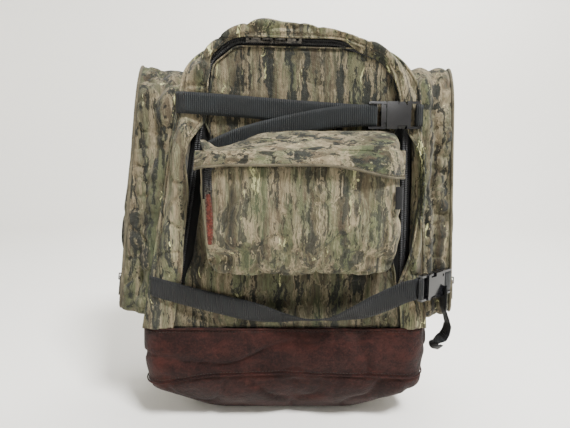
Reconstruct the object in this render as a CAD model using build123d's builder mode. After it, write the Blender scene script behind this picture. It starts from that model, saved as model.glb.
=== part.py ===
from build123d import *
import math
import os

# Hunting backpack: a panel-loading canvas pack on a leather base.
#
# Millimetres, +Z up. The front with its pocket faces -Y, the wearer's side faces +Y, and the origin
# lies on the floor under the middle of the leather base. The packed bag leans a little, so the top
# of every front-view outline stands to +X of the base.
#
# The shell is built from its cut panels: two leather pieces below, a gusset band that runs up one
# side, over the top and down the other, a front frame, a front panel that a U-shaped zip joins to
# the frame, and a back panel. Two side pockets, a front pocket, two buckled straps across the front
# and two shoulder straps are sewn to it.

os.makedirs("parts", exist_ok=True)

# ---- driving dimensions -------------------------------------------------------------------------
CLOTH = 2.0  # canvas with its lining
LEATHER = 2.5
WEB = 25.4  # width of all the webbing
WEB_T = 1.6  # its thickness
GAP = 0.3  # clearance between parts that move past each other

HALF_DEPTH = 90.0  # the bag is this deep in front of and behind the origin
SEAM_Z = 72.0  # leather base meets leather band
LEATHER_TOP_Z = 138.0  # leather band meets canvas

# Front view of the whole shell, x and z of each corner, with the radius that rounds it.
SHELL_CORNERS = [(-182, 138), (-117, 476), (-40, 536), (20, 530), (135, 488), (160, 440), (180, 138)]
SHELL_RADII = [0, 40, 45, 60, 45, 40, 0]
# Front view of the main zip's middle line, closed along the leather's top edge.
ZIP_CORNERS = [(-146, 138), (-90, 470), (-60, 494), (62, 491), (120, 470), (145, 420), (150, 138)]
ZIP_RADII = [0, 25, 30, 60, 40, 60, 0]
ZIP_END_Z = 200.0  # below this the panel is sewn straight to the frame
FOLD_Z = 438.5  # the front panel's top folds forward over the upper strap here

# Zip section: two coils side by side, with a tape along the outer edge of each.
COIL_GAP = 0.7  # half the gap between the coils
COIL_EDGE = 4.3
COIL_T = 2.4
TAPE_EDGE = 9.3
TAPE_T = 0.6
SIDE_TAPE_EDGE = 6.3  # the narrower tape of the pockets

SLIDER_L = 13.0
SLIDER_W = 8.4
PLATE_T = 1.5
PULL_AXIS_H = 4.5  # the pull's crossbar stands this far off the zip's middle plane

POCKET_OUT = 57.0  # how far the middle of a side pocket's foot stands off the gusset
POCKET_YAW = 14.0  # its outer face turns towards the front by this angle
POCKET_SPLAY = {"left": 3.5, "right": 1.5}  # and its top stands out further, by this angle
POCKET_FRONT, POCKET_BACK = 78.0, -70.0
POCKET_LOW, POCKET_HIGH = 12.0, 332.0
POCKET_ZIP_INSET = 16.0
PIPING = 2.5  # the corded edge round the outer face
DOOR_HINGE_UP = 60.3

FP_LEFT, FP_RIGHT = -94.0, 130.0  # front pocket
FP_LOW, FP_HIGH = 225.0, 387.0
FP_FACE_Y = -140.0
FP_ZIP_Z = 352.0
FP_ZIP_X = -85.0
FLAP_HINGE_Z = 363.0
FLAP_Y = FP_FACE_Y - 2.5  # its back clears the coil below
FLAP_T = 2.0

PAD_T = 12.0
PAD_Y = 106.0  # near face of the shoulder pads
BACK_PAD_T = 10.0
BACK_PAD_INSET = 26.0  # the cushion stops this far inside the back's outline
STIFFENER_T = 3.0
STIFFENER_INSET = 22.0


def save(part, label):
    """Labels one finished sub-part and writes its STEP file."""
    part.label = label
    export_step(part, f"parts/{label}.step")


def rounded(corners, radii, grow=0.0):
    """A closed face inside the current sketch: straight sides, round corners, grown by an offset."""
    with BuildSketch(mode=Mode.PRIVATE) as flat:
        with BuildLine():
            FilletPolyline(*corners, radius=radii, close=True)
        make_face()
        if grow:
            offset(amount=grow, kind=Kind.INTERSECTION)
    return flat.sketch


def lowered(corners, by):
    """The same outline with its two bottom corners carried on down along the sides."""
    out = list(corners)
    for foot, above in ((0, 1), (-1, -2)):
        (x0, z0), (x1, z1) = corners[foot], corners[above]
        out[foot] = (x0 - (x1 - x0) * by / (z1 - z0), z0 - by)
    return out


def window(x0, x1, z0, z1):
    """An upright rectangle as a private sketch."""
    with BuildSketch(mode=Mode.PRIVATE) as flat:
        with Locations(((x0 + x1) / 2, (z0 + z1) / 2)):
            Rectangle(x1 - x0, z1 - z0)
    return flat.sketch


def front_plane(y):
    """A sketch plane facing the front, whose sketch x and y are the pack's X and Z."""
    return Plane.XZ.offset(-y)


# Shared front-view faces, made once. WIDE reaches past every outline.
WIDE = 400.0
SHELL = rounded(SHELL_CORNERS, SHELL_RADII)
SHELL_INSIDE = rounded(lowered(SHELL_CORNERS, 30), SHELL_RADII, -CLOTH)
LONG_ZIP = lowered(ZIP_CORNERS, 60)
ABOVE_ZIP_END = window(-WIDE, WIDE, ZIP_END_Z, 2 * WIDE)
LOWER_HALF = window(-WIDE, WIDE, LEATHER_TOP_Z, FOLD_Z - 0.5)
UPPER_HALF = window(-WIDE, WIDE, FOLD_Z + 0.5, 2 * WIDE)
ZIP_AT = {
    d: rounded(LONG_ZIP, ZIP_RADII, d)
    for d in (TAPE_EDGE, COIL_EDGE, COIL_GAP, 0, -COIL_GAP, -COIL_EDGE, -TAPE_EDGE, TAPE_EDGE + 3)
}
CHANNEL = (ZIP_AT[TAPE_EDGE] - ZIP_AT[-TAPE_EDGE]) & ABOVE_ZIP_END

# ---- shell --------------------------------------------------------------------------------------
with BuildPart() as gusset_band:
    with BuildSketch(front_plane(HALF_DEPTH - CLOTH)):
        add(SHELL)
        add(SHELL_INSIDE, mode=Mode.SUBTRACT)
    extrude(amount=2 * (HALF_DEPTH - CLOTH))
save(gusset_band.part, "gusset_band")

with BuildPart() as front_frame:
    with BuildSketch(front_plane(-HALF_DEPTH + CLOTH)):
        add(SHELL)
        add(ZIP_AT[0], mode=Mode.SUBTRACT)
        add(CHANNEL, mode=Mode.SUBTRACT)
    extrude(amount=CLOTH)
save(front_frame.part, "front_frame")

with BuildPart() as opening_welt:
    with BuildSketch(front_plane(-HALF_DEPTH)):
        add(ZIP_AT[TAPE_EDGE + 3] & ABOVE_ZIP_END)
        add(ZIP_AT[TAPE_EDGE], mode=Mode.SUBTRACT)
    extrude(amount=CLOTH)
save(opening_welt.part, "opening_welt")

for name, half in (("front_panel_lower", LOWER_HALF), ("front_panel_upper", UPPER_HALF)):
    with BuildPart() as panel:
        with BuildSketch(front_plane(-HALF_DEPTH + CLOTH)):
            add(ZIP_AT[0] & half)
            add(CHANNEL, mode=Mode.SUBTRACT)
        extrude(amount=CLOTH)
    save(panel.part, name)

with BuildPart() as back_panel:
    with BuildSketch(front_plane(HALF_DEPTH)):
        add(SHELL)
    extrude(amount=CLOTH)
save(back_panel.part, "back_panel")

with BuildPart() as back_stiffener:
    with BuildSketch(front_plane(HALF_DEPTH - CLOTH - 0.5)):
        add(rounded(SHELL_CORNERS, SHELL_RADII, -STIFFENER_INSET))
    extrude(amount=STIFFENER_T)
save(back_stiffener.part, "back_stiffener")

with BuildPart() as back_pad:
    with BuildSketch(front_plane(HALF_DEPTH + BACK_PAD_T)):
        add(rounded(SHELL_CORNERS, SHELL_RADII, -BACK_PAD_INSET))
    extrude(amount=BACK_PAD_T)
    far_face = back_pad.faces().sort_by(Axis.Y)[-1]
    fillet(far_face.edges(), radius=4)
save(back_pad.part, "back_pad")

# ---- leather base -------------------------------------------------------------------------------
# Plan of the leather at each level: z, half length, half depth, corner radius.
BASE_LEVELS = [(0.0, 128, 58, 40), (26.0, 166, 80, 40), (SEAM_Z, 183, 91, 30)]


def base_solid(inset, floor):
    """The dish's outside, or with an inset its hollow, which starts at the given floor."""
    with BuildPart(mode=Mode.PRIVATE) as dish:
        for z, half_x, half_y, radius in BASE_LEVELS:
            with BuildSketch(Plane.XY.offset(max(z, floor))):
                RectangleRounded(2 * (half_x - inset), 2 * (half_y - inset), radius - inset)
        loft(ruled=True)
    return dish.part


with BuildPart() as leather_base:
    add(base_solid(0, 0))
    add(base_solid(LEATHER, LEATHER), mode=Mode.SUBTRACT)
save(leather_base.part, "leather_base")

with BuildPart() as leather_band:
    with BuildSketch(Plane.XY.offset(SEAM_Z)):
        RectangleRounded(2 * BASE_LEVELS[-1][1], 2 * BASE_LEVELS[-1][2], BASE_LEVELS[-1][3])
        offset(amount=-LEATHER, mode=Mode.SUBTRACT)
    extrude(amount=LEATHER_TOP_Z - SEAM_Z)
save(leather_band.part, "leather_band")

# ---- main zip -----------------------------------------------------------------------------------
# The coils part inside the two sliders, so the panel's coil leaves that stretch free.
SLIDER_X = {"left": -20.5, "right": -5.5}
SLIDERS_SPAN = window(SLIDER_X["left"] - 8.5, SLIDER_X["right"] + 8.5, 470, 520)


def zip_half(plane, tape, coil, label):
    """Coil and tape of one side of a zip, centred on the zip's middle plane."""
    with BuildPart() as half:
        with BuildSketch(plane.offset(-TAPE_T / 2)):
            add(tape)
        extrude(amount=TAPE_T)
        with BuildSketch(plane.offset(-COIL_T / 2)):
            add(coil)
        extrude(amount=COIL_T)
    save(half.part, label)


outer_tape = (ZIP_AT[TAPE_EDGE] - ZIP_AT[COIL_EDGE]) & ABOVE_ZIP_END
outer_coil = (ZIP_AT[COIL_EDGE] - ZIP_AT[COIL_GAP]) & ABOVE_ZIP_END
zip_half(front_plane(-HALF_DEPTH), outer_tape, outer_coil, "main_zip_outer")
for level, half in (("lower", LOWER_HALF), ("upper", UPPER_HALF)):
    reach = half & ABOVE_ZIP_END
    inner_tape = (ZIP_AT[-COIL_EDGE] - ZIP_AT[-TAPE_EDGE]) & reach
    inner_coil = (ZIP_AT[-COIL_GAP] - ZIP_AT[-COIL_EDGE]) & reach
    zip_half(front_plane(-HALF_DEPTH), inner_tape, inner_coil - SLIDERS_SPAN, f"main_zip_{level}")


def zip_slider(plane, label):
    """A zip slider: its nose along the plane's x, its face along z, origin in the zip's middle."""
    inner = COIL_T / 2 + GAP
    bridge_w, bridge_h = 2.2, 3.0
    with BuildPart(plane) as slider:
        for low in (inner, -inner - PLATE_T):
            with BuildSketch(plane.offset(low)):
                RectangleRounded(SLIDER_L, SLIDER_W, 2.5)
            extrude(amount=PLATE_T)
        with BuildSketch(plane.offset(-inner)):
            with Locations((SLIDER_L / 2 - 1.5, 0)):
                Rectangle(3, 2 * (COIL_GAP - GAP))
        extrude(amount=2 * inner)
        with BuildSketch(plane.offset(inner + PLATE_T)):
            with Locations((-3.9, 0), (3.9, 0)):
                Rectangle(1.2, bridge_w)
        extrude(amount=bridge_h)
        with BuildSketch(plane.offset(inner + PLATE_T + bridge_h)):
            Rectangle(9.0, bridge_w)
        extrude(amount=1.2)
    save(slider.part, label)


def zip_pull(plane, label, direction=-1, length=26.0):
    """A pull whose crossbar lies in the slider's bridge. It points along the plane's x times direction."""
    arm_t, bar_r, half_w = 1.5, 0.95, 4.0
    with BuildPart() as pull:
        bar_plane = Plane(plane.from_local_coords((0, -half_w, PULL_AXIS_H)), x_dir=plane.x_dir,
                          z_dir=plane.y_dir)
        with BuildSketch(bar_plane):
            Circle(bar_r)
        extrude(amount=2 * half_w)
        with BuildSketch(plane.offset(PULL_AXIS_H - arm_t / 2)):
            with Locations((direction * (length / 2 - 1), 0)):
                RectangleRounded(length, 2 * half_w, 0.9)
            with Locations((direction * 2.2, 0)):
                Rectangle(11.5, 4.4, mode=Mode.SUBTRACT)
            with Locations((direction * (length - 6), 0)):
                Circle(1.6, mode=Mode.SUBTRACT)
        extrude(amount=arm_t)
        with BuildSketch(bar_plane):
            Circle(bar_r)
        extrude(amount=2 * half_w)
    save(pull.part, label)


# The zip's top run is straight from its corner at the left to its corner at the right.
(TOP_X0, TOP_Z0), (TOP_X1, TOP_Z1) = ZIP_CORNERS[2], ZIP_CORNERS[3]
TOP_RUN = Vector(TOP_X1 - TOP_X0, 0, TOP_Z1 - TOP_Z0).normalized()
for side, way in (("left", 1), ("right", -1)):
    x = SLIDER_X[side]
    z = TOP_Z0 + (x - TOP_X0) * (TOP_Z1 - TOP_Z0) / (TOP_X1 - TOP_X0)
    at = Plane((x, -HALF_DEPTH, z), x_dir=TOP_RUN * way, z_dir=(0, -1, 0))
    zip_slider(at, f"main_slider_{side}")
    zip_pull(at, f"main_pull_{side}")

# ---- side pockets -------------------------------------------------------------------------------


def side_plane(foot, top, front):
    """Plane on the gusset: z outward, y up along the gusset, x to the front (1) or the back (-1)."""
    up = Vector(top[0] - foot[0], 0, top[1] - foot[1]).normalized()
    x_dir = Vector(0, -front, 0)
    return Plane((foot[0], 0, foot[1]), x_dir=x_dir, z_dir=x_dir.cross(up))


def outer_plane(plane, front, splay):
    """Plane of a side pocket's outer face: the side plane moved out, splayed and turned forwards."""
    yaw, lean = math.radians(POCKET_YAW), math.radians(splay)
    out = plane.z_dir * math.cos(lean) - plane.y_dir * math.sin(lean)
    x_dir = plane.x_dir * math.cos(yaw) - out * (front * math.sin(yaw))
    z_dir = out * math.cos(yaw) + plane.x_dir * (front * math.sin(yaw))
    return Plane(plane.from_local_coords((0, 0, POCKET_OUT)), x_dir=x_dir, z_dir=z_dir)


SIDES = {
    "left": (side_plane(SHELL_CORNERS[0], SHELL_CORNERS[1], 1), 1),
    "right": (side_plane(SHELL_CORNERS[-1], SHELL_CORNERS[-2], -1), -1),
}
OUTER = {side: outer_plane(*SIDES[side], POCKET_SPLAY[side]) for side in SIDES}
POCKET_RADII = [20, 55, 60, 20]
SLANT = 1 / math.cos(math.radians(POCKET_YAW))  # the turned face is longer by this ratio


def pocket_outline(front, grow=0.0, slant=SLANT):
    """The pocket seen from the side, in its outer face's own axes, or in the side plane's."""
    corners = [
        (front * POCKET_BACK * slant, POCKET_LOW),
        (front * POCKET_BACK * slant, POCKET_HIGH - 6),
        (front * POCKET_FRONT * slant, POCKET_HIGH),
        (front * POCKET_FRONT * slant, POCKET_LOW),
    ]
    return rounded(corners, POCKET_RADII, grow)


for side, (plane, front) in SIDES.items():
    outer = OUTER[side]
    edge = pocket_outline(front)
    ring = {d: pocket_outline(front, d - POCKET_ZIP_INSET)
            for d in (SIDE_TAPE_EDGE, COIL_EDGE, COIL_GAP, -COIL_GAP, -COIL_EDGE, -SIDE_TAPE_EDGE)}
    above_end = window(-WIDE, WIDE, DOOR_HINGE_UP - 15, 2 * WIDE)
    above_hinge = window(-WIDE, WIDE, DOOR_HINGE_UP + GAP, 2 * WIDE)
    below_hinge = window(-WIDE, WIDE, DOOR_HINGE_UP - 15, DOOR_HINGE_UP - GAP)
    channel = (ring[SIDE_TAPE_EDGE] - ring[-SIDE_TAPE_EDGE]) & above_end
    doorway = ring[-SIDE_TAPE_EDGE] & window(-WIDE, WIDE, DOOR_HINGE_UP - GAP, 2 * WIDE)

    with BuildPart() as pocket_wall:
        with BuildSketch(plane):
            add(pocket_outline(front, 0, 1))
            add(pocket_outline(front, -CLOTH, 1), mode=Mode.SUBTRACT)
        extrude(amount=2 * POCKET_OUT)
        split(bisect_by=outer.offset(-CLOTH), keep=Keep.BOTTOM)
    save(pocket_wall.part, f"{side}_pocket_wall")

    with BuildPart() as pocket_face:
        with BuildSketch(outer.offset(-CLOTH)):
            add(edge - channel - doorway)
        extrude(amount=CLOTH)
    save(pocket_face.part, f"{side}_pocket_face")

    with BuildPart() as pocket_door:
        with BuildSketch(outer.offset(-CLOTH)):
            add(ring[-SIDE_TAPE_EDGE] & above_hinge)
        extrude(amount=CLOTH)
    save(pocket_door.part, f"{side}_pocket_door")

    outer_tape = (ring[SIDE_TAPE_EDGE] - ring[COIL_EDGE]) & above_end
    outer_coil = (ring[COIL_EDGE] - ring[COIL_GAP]) & above_end
    inner_tape = ring[-COIL_EDGE] - ring[-SIDE_TAPE_EDGE]
    inner_coil = ring[-COIL_GAP] - ring[-COIL_EDGE]
    # Below the hinge both coils belong to the pocket; above it the inner one belongs to the door.
    zip_middle = outer.offset(-CLOTH / 2)
    pocket_tape = outer_tape + (inner_tape & below_hinge)
    pocket_coil = outer_coil + (inner_coil & below_hinge)
    zip_half(zip_middle, pocket_tape, pocket_coil, f"{side}_pocket_zip")
    zip_half(zip_middle, inner_tape & above_hinge, inner_coil & above_hinge, f"{side}_door_zip")

    zip_x = front * (POCKET_FRONT * SLANT - POCKET_ZIP_INSET)
    spot = outer.from_local_coords((zip_x, DOOR_HINGE_UP - 7.3, -CLOTH / 2))
    at = Plane(spot, x_dir=outer.y_dir, z_dir=outer.z_dir)
    zip_slider(at, f"{side}_pocket_slider")
    zip_pull(at, f"{side}_pocket_pull")

with BuildPart() as side_pocket_piping:
    for side, outer in OUTER.items():
        front = SIDES[side][1]
        with BuildSketch(outer.offset(-CLOTH)):
            add(pocket_outline(front, PIPING) - pocket_outline(front))
        extrude(amount=CLOTH)
save(side_pocket_piping.part, "side_pocket_piping")

# ---- front pocket -------------------------------------------------------------------------------
FP_MID_X = (FP_LEFT + FP_RIGHT) / 2
FP_WIDTH = FP_RIGHT - FP_LEFT
TUB_TOP_Z = FP_ZIP_Z + SIDE_TAPE_EDGE
ZIP_RUN = [(FP_RIGHT - 12, FP_ZIP_Z), (FP_ZIP_X, FP_ZIP_Z), (FP_ZIP_X, 311)]


def pocket_zip_band(half_width, inside=0.0):
    """The front pocket's L-shaped zip run as a band, without the strip along its middle."""
    with BuildSketch(mode=Mode.PRIVATE) as band:
        with BuildLine() as run:
            FilletPolyline(*ZIP_RUN, radius=11)
        trace(run.line, line_width=2 * half_width)
        if inside:
            trace(run.line, line_width=2 * inside, mode=Mode.SUBTRACT)
    return band.sketch


with BuildPart() as front_pocket_tub:
    with BuildSketch(Plane.XY.offset(FP_LOW)):
        with Locations((FP_MID_X, (FP_FACE_Y - HALF_DEPTH) / 2)):
            Rectangle(FP_WIDTH, -HALF_DEPTH - FP_FACE_Y)
    extrude(amount=TUB_TOP_Z - FP_LOW)
    with BuildSketch(Plane.XY.offset(FP_LOW + CLOTH)):
        with Locations((FP_MID_X, (FP_FACE_Y + CLOTH - HALF_DEPTH) / 2)):
            Rectangle(FP_WIDTH - 2 * CLOTH, -HALF_DEPTH - FP_FACE_Y - CLOTH)
    extrude(amount=TUB_TOP_Z, mode=Mode.SUBTRACT)
    with BuildSketch(front_plane(FP_FACE_Y + CLOTH)):
        add(pocket_zip_band(SIDE_TAPE_EDGE))
    extrude(amount=CLOTH, mode=Mode.SUBTRACT)
save(front_pocket_tub.part, "front_pocket_tub")

with BuildPart() as front_pocket_top:
    with BuildSketch(Plane.YZ.offset(FP_LEFT)):
        Polygon((FP_FACE_Y, TUB_TOP_Z), (-108, FP_HIGH), (-HALF_DEPTH, FP_HIGH),
                (-HALF_DEPTH, TUB_TOP_Z), align=None)
    extrude(amount=FP_WIDTH)
    with BuildSketch(Plane.YZ.offset(FP_LEFT + CLOTH)):
        Polygon((FP_FACE_Y + 3, TUB_TOP_Z), (-107, FP_HIGH - CLOTH), (-HALF_DEPTH, FP_HIGH - CLOTH),
                (-HALF_DEPTH, TUB_TOP_Z), align=None)
    extrude(amount=FP_WIDTH - 2 * CLOTH, mode=Mode.SUBTRACT)
    with BuildSketch(Plane.YZ.offset(FP_LEFT)):
        Polygon((FLAP_Y - FLAP_T, FLAP_HINGE_Z + 0.4), (FLAP_Y - FLAP_T, FLAP_HINGE_Z + 3.4),
                (-130, FLAP_HINGE_Z + 3.4), (-133.6, FLAP_HINGE_Z + 0.4), align=None)
    extrude(amount=FP_WIDTH)
save(front_pocket_top.part, "front_pocket_top")

zip_middle = front_plane(FP_FACE_Y + CLOTH / 2)
zip_half(zip_middle, pocket_zip_band(SIDE_TAPE_EDGE, COIL_EDGE), pocket_zip_band(COIL_EDGE, COIL_GAP),
         "front_pocket_zip")

pocket_slider_at = Plane((FP_ZIP_X, FP_FACE_Y + CLOTH / 2, 320), x_dir=(0, 0, 1), z_dir=(0, -1, 0))
zip_slider(pocket_slider_at, "front_pocket_slider")
zip_pull(pocket_slider_at, "front_pocket_pull", length=16)

with BuildPart() as leather_pull:
    pull_y = FP_FACE_Y + CLOTH / 2 - PULL_AXIS_H
    with BuildSketch(front_plane(pull_y - 0.75)):
        with Locations((FP_ZIP_X, 320 - 8 - 27)):
            SlotOverall(58, 9, rotation=90)
    extrude(amount=2)
save(leather_pull.part, "leather_pull")

with BuildPart() as front_pocket_flap:
    with BuildSketch(front_plane(FLAP_Y)):
        add(rounded([(FP_LEFT, 345), (FP_LEFT, FLAP_HINGE_Z), (FP_RIGHT, FLAP_HINGE_Z), (FP_RIGHT, 332),
                     (FP_MID_X + 20, 343)], [4, 0, 0, 4, 60]))
    extrude(amount=FLAP_T)
save(front_pocket_flap.part, "front_pocket_flap")

with BuildPart() as label_tab:
    with BuildSketch(front_plane(FP_FACE_Y)):
        add(window(FP_RIGHT - 8, FP_RIGHT, 300, 325))
    extrude(amount=1)
save(label_tab.part, "label_tab")

# ---- side-release buckles -----------------------------------------------------------------------
BUCKLE_W, BUCKLE_T = 32.0, 9.0
MALE_L = 21.0
BODY_START, BODY_END, BUCKLE_END = 21.4, 50.0, 61.0
PRONG_X, PRONG_Y, PRONG_R = 19.0, 10.7, 1.75
PRONG_LOW, PRONG_T = 2.3, 4.4
SLOT_W = 26.4
CAVITY_W, CAVITY_END = 26.4, 47.0
MALE_BAR, MALE_BAR_Z = (6.6, 11.0), (2.6, 5.2)
END_BAR, END_BAR_Z = (BUCKLE_END - 2.6, BUCKLE_END), (1.0, BUCKLE_T - 2)
WINDOW_X0, WINDOW_X1 = 34.5, 45.5


def block(plane, x0, x1, y0, y1, z0, z1, mode=Mode.ADD):
    """A rectangular block given by its corners in a plane's own axes."""
    with BuildSketch(plane.offset(z0), mode=Mode.PRIVATE) as foot:
        with Locations(((x0 + x1) / 2, (y0 + y1) / 2)):
            Rectangle(x1 - x0, y1 - y0)
    extrude(foot.sketch, amount=z1 - z0, mode=mode)


def buckle_male(plane, label):
    """Adjustable half: a frame with a bar between two slots, a root block and a guide tongue."""
    half = BUCKLE_W / 2
    with BuildPart() as male:
        with BuildSketch(plane.offset(1)):
            with Locations((MALE_L / 2, 0)):
                RectangleRounded(MALE_L, BUCKLE_W, 2)
        extrude(amount=BUCKLE_T - 2)
        for x0, x1 in ((2.4, MALE_BAR[0]), (MALE_BAR[1], 15.0)):
            block(plane, x0, x1, -SLOT_W / 2, SLOT_W / 2, 0, BUCKLE_T, Mode.SUBTRACT)
        block(plane, -1, 11.0, -SLOT_W / 2, SLOT_W / 2, MALE_BAR_Z[1], BUCKLE_T, Mode.SUBTRACT)
        block(plane, -1, 11.0, -SLOT_W / 2, SLOT_W / 2, 0, MALE_BAR_Z[0], Mode.SUBTRACT)
        block(plane, MALE_L, 42, -2.5, 2.5, PRONG_LOW, PRONG_LOW + PRONG_T)
        for way in (1, -1):
            with BuildSketch(plane.offset(0)):
                with Locations((PRONG_X, way * PRONG_Y)):
                    Circle(PRONG_R + GAP)
                with Locations((PRONG_X + 2.5, way * PRONG_Y)):
                    Rectangle(5, 2 * (PRONG_R + GAP))
            extrude(amount=BUCKLE_T, mode=Mode.SUBTRACT)
    save(male.part, label)


def buckle_prong(plane, label, way):
    """One sprung arm: a round root, a bar and a hooked lobe that fills the side window."""
    arm = [
        (PRONG_X, way * (PRONG_Y - PRONG_R)),
        (40, way * (PRONG_Y - PRONG_R)),
        (45, way * (PRONG_Y - 0.6)),
        (45, way * (PRONG_Y + 1.2)),
        (42.5, way * 15.6),
        (36.0, way * 15.6),
        (35.4, way * (PRONG_Y + PRONG_R)),
        (PRONG_X, way * (PRONG_Y + PRONG_R)),
    ]
    with BuildPart() as prong:
        with BuildSketch(plane.offset(PRONG_LOW)):
            Polygon(*arm, align=None)
            with Locations((PRONG_X, way * PRONG_Y)):
                Circle(PRONG_R)
        extrude(amount=PRONG_T)
    save(prong.part, label)


def buckle_female(plane, label):
    """Receiving half: a hollow body with a mouth and two side windows, then a bar for the webbing."""
    half = BUCKLE_W / 2
    with BuildPart() as female:
        with BuildSketch(plane):
            with Locations(((BODY_START + BODY_END) / 2, 0)):
                RectangleRounded(BODY_END - BODY_START, BUCKLE_W, 1.5)
        extrude(amount=BUCKLE_T)
        block(plane, BODY_START - 1, CAVITY_END, -CAVITY_W / 2, CAVITY_W / 2, 1.8, BUCKLE_T - 1.8,
              Mode.SUBTRACT)
        for way in (1, -1):
            low, high = sorted((way * 11.8, way * (half + 1)))
            block(plane, WINDOW_X0, WINDOW_X1, low, high, -1, BUCKLE_T + 1, Mode.SUBTRACT)
        block(plane, BODY_END - 1, BUCKLE_END, -half, half, 1, BUCKLE_T - 2)
        block(plane, BODY_END + 0.5, BUCKLE_END - 2.6, -SLOT_W / 2, SLOT_W / 2, -1, BUCKLE_T + 1,
              Mode.SUBTRACT)
    save(female.part, label)


def web_fold(plane, back_end, front_end):
    """Webbing folded round a male frame's bar, its two legs leaving at the frame's end."""
    turn = MALE_BAR[1] + GAP
    behind, before = MALE_BAR_Z[0] - GAP - WEB_T, MALE_BAR_Z[1] + GAP
    block(plane, turn, turn + WEB_T, -WEB / 2, WEB / 2, behind, before + WEB_T)
    block(plane, back_end, turn, -WEB / 2, WEB / 2, behind, behind + WEB_T)
    block(plane, front_end, turn, -WEB / 2, WEB / 2, before, before + WEB_T)


def web_ring(plane):
    """Webbing sewn round a female's end bar."""
    x0, x1 = END_BAR[0] - GAP, END_BAR[1] + GAP
    z0, z1 = END_BAR_Z[0] - GAP, END_BAR_Z[1] + GAP
    block(plane, x0 - WEB_T, x1 + WEB_T, -WEB / 2, WEB / 2, z0 - WEB_T, z1 + WEB_T)
    block(plane, x0, x1, -WEB / 2, WEB / 2, z0, z1, Mode.SUBTRACT)


def lay_web(plane, corners, radius):
    """Webbing that lies flat in a plane along a line of points."""
    with BuildSketch(plane, mode=Mode.PRIVATE) as band:
        with BuildLine(mode=Mode.PRIVATE) as run:
            FilletPolyline(*corners, radius=radius)
        trace(run.line, line_width=WEB)
    extrude(band.sketch, amount=WEB_T)


def patch(plane, x0, x1, z0, z1, thickness):
    """The sewn end of a strap: a flat rectangle of folded webbing."""
    block(plane, x0, x1, z0, z1, 0, thickness)


UPPER_BUCKLE = Plane((98.3, -93.5, 406), x_dir=(1, 0, 0), z_dir=(0, -1, 0))
LOWER_TURN = math.radians(38)
LOWER_BUCKLE = Plane((207, -81, 201), x_dir=(-math.cos(LOWER_TURN), -math.sin(LOWER_TURN), 0),
                     z_dir=(math.sin(LOWER_TURN), -math.cos(LOWER_TURN), 0))
for level, plane in (("upper", UPPER_BUCKLE), ("lower", LOWER_BUCKLE)):
    buckle_male(plane, f"{level}_buckle_male")
    buckle_female(plane, f"{level}_buckle_female")
    buckle_prong(plane, f"{level}_prong_a", 1)
    buckle_prong(plane, f"{level}_prong_b", -1)

# ---- webbing across the front -------------------------------------------------------------------
STRAP_Y = UPPER_BUCKLE.origin.Y - (MALE_BAR_Z[0] - GAP - WEB_T)
TAIL_Y = UPPER_BUCKLE.origin.Y - (MALE_BAR_Z[1] + GAP)

# The upper webbing is sewn to the frame at the left, runs behind the male's bar, folds round it and
# lies back over itself as a tail.
with BuildPart() as upper_strap:
    web_fold(UPPER_BUCKLE, -0.6, -0.6)
    lay_web(front_plane(STRAP_Y), [(-125, 421.5), (60, 407.5), (98, 406)], 200)
    lay_web(front_plane(TAIL_Y), [(98, 406), (40, 405), (-35, 403.5)], 120)
    patch(front_plane(-HALF_DEPTH), -124, -114, 409.5, 431, -STRAP_Y - HALF_DEPTH)
save(upper_strap.part, "upper_strap")

# A short stub round the female's end bar holds the upper buckle to the frame at the right seam.
with BuildPart() as upper_strap_stub:
    web_ring(UPPER_BUCKLE)
    block(UPPER_BUCKLE, END_BAR[1] - 1.2, END_BAR[1] + GAP + WEB_T, -WEB / 2, WEB / 2, -3.5, -0.5)
save(upper_strap_stub.part, "upper_strap_stub")

# The lower webbing hangs in an arc from the left seam to the female's end bar.
LOWER_LEFT = Vector(-168, -HALF_DEPTH - 3, 195)
bar_end = LOWER_BUCKLE.from_local_coords((BUCKLE_END + 1.5, 0, 3))
along = Vector(bar_end.X - LOWER_LEFT.X, bar_end.Y - LOWER_LEFT.Y, 0)
SPAN = along.length
RISE = bar_end.Z - LOWER_LEFT.Z
lower_plane = Plane(LOWER_LEFT, x_dir=along, z_dir=along.cross(Vector(0, 0, 1)))
with BuildPart() as lower_strap:
    web_ring(LOWER_BUCKLE)
    lay_web(lower_plane, [(0, 0), (110, -27), (205, -40), (SPAN - 16, RISE), (SPAN, RISE)],
            [200, 130, 30])
    patch(front_plane(-HALF_DEPTH), -165, -152, 182, 205, 4.2)
save(lower_strap.part, "lower_strap")

# At the right the webbing is sewn to the side pocket's front and runs round the male's bar.
with BuildPart() as lower_strap_end:
    web_fold(LOWER_BUCKLE, -4.2, -1.5)
    patch(front_plane(-POCKET_FRONT), 197, 211, LOWER_BUCKLE.origin.Z - WEB / 2,
          LOWER_BUCKLE.origin.Z + WEB / 2, WEB_T)
save(lower_strap_end.part, "lower_strap_end")

# The spare end hangs free from the buckle, edge on to the front.
TAIL_TOP = Vector(196, -94, 184.5)
TAIL_L = 60.0
with BuildPart() as lower_strap_tail:
    with BuildSketch(Plane.XY.offset(TAIL_TOP.Z - TAIL_L)):
        with Locations((TAIL_TOP.X, TAIL_TOP.Y)):
            Rectangle(WEB_T, WEB)
    extrude(amount=TAIL_L)
save(lower_strap_tail.part, "lower_strap_tail")

# ---- shoulder straps ----------------------------------------------------------------------------
LEAN_MID = 17.0  # the middle of the back is this far to +X at the height of the yoke
YOKE_Z = 452.0
YOKE_T = 3.0
YOKE_Y = HALF_DEPTH + BACK_PAD_T + YOKE_T  # its face on the wearer's side
PAD_LINE = [(46, 440), (60, 380), (88, 300), (116, 228)]  # x out from the middle, z
PAD_W = 58.0
LOCK_T = 4.0
LOCK_BAR = 10.65  # the ladder-lock's top bar, above the lock's middle
BAR_CLEAR = 2.5

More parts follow.
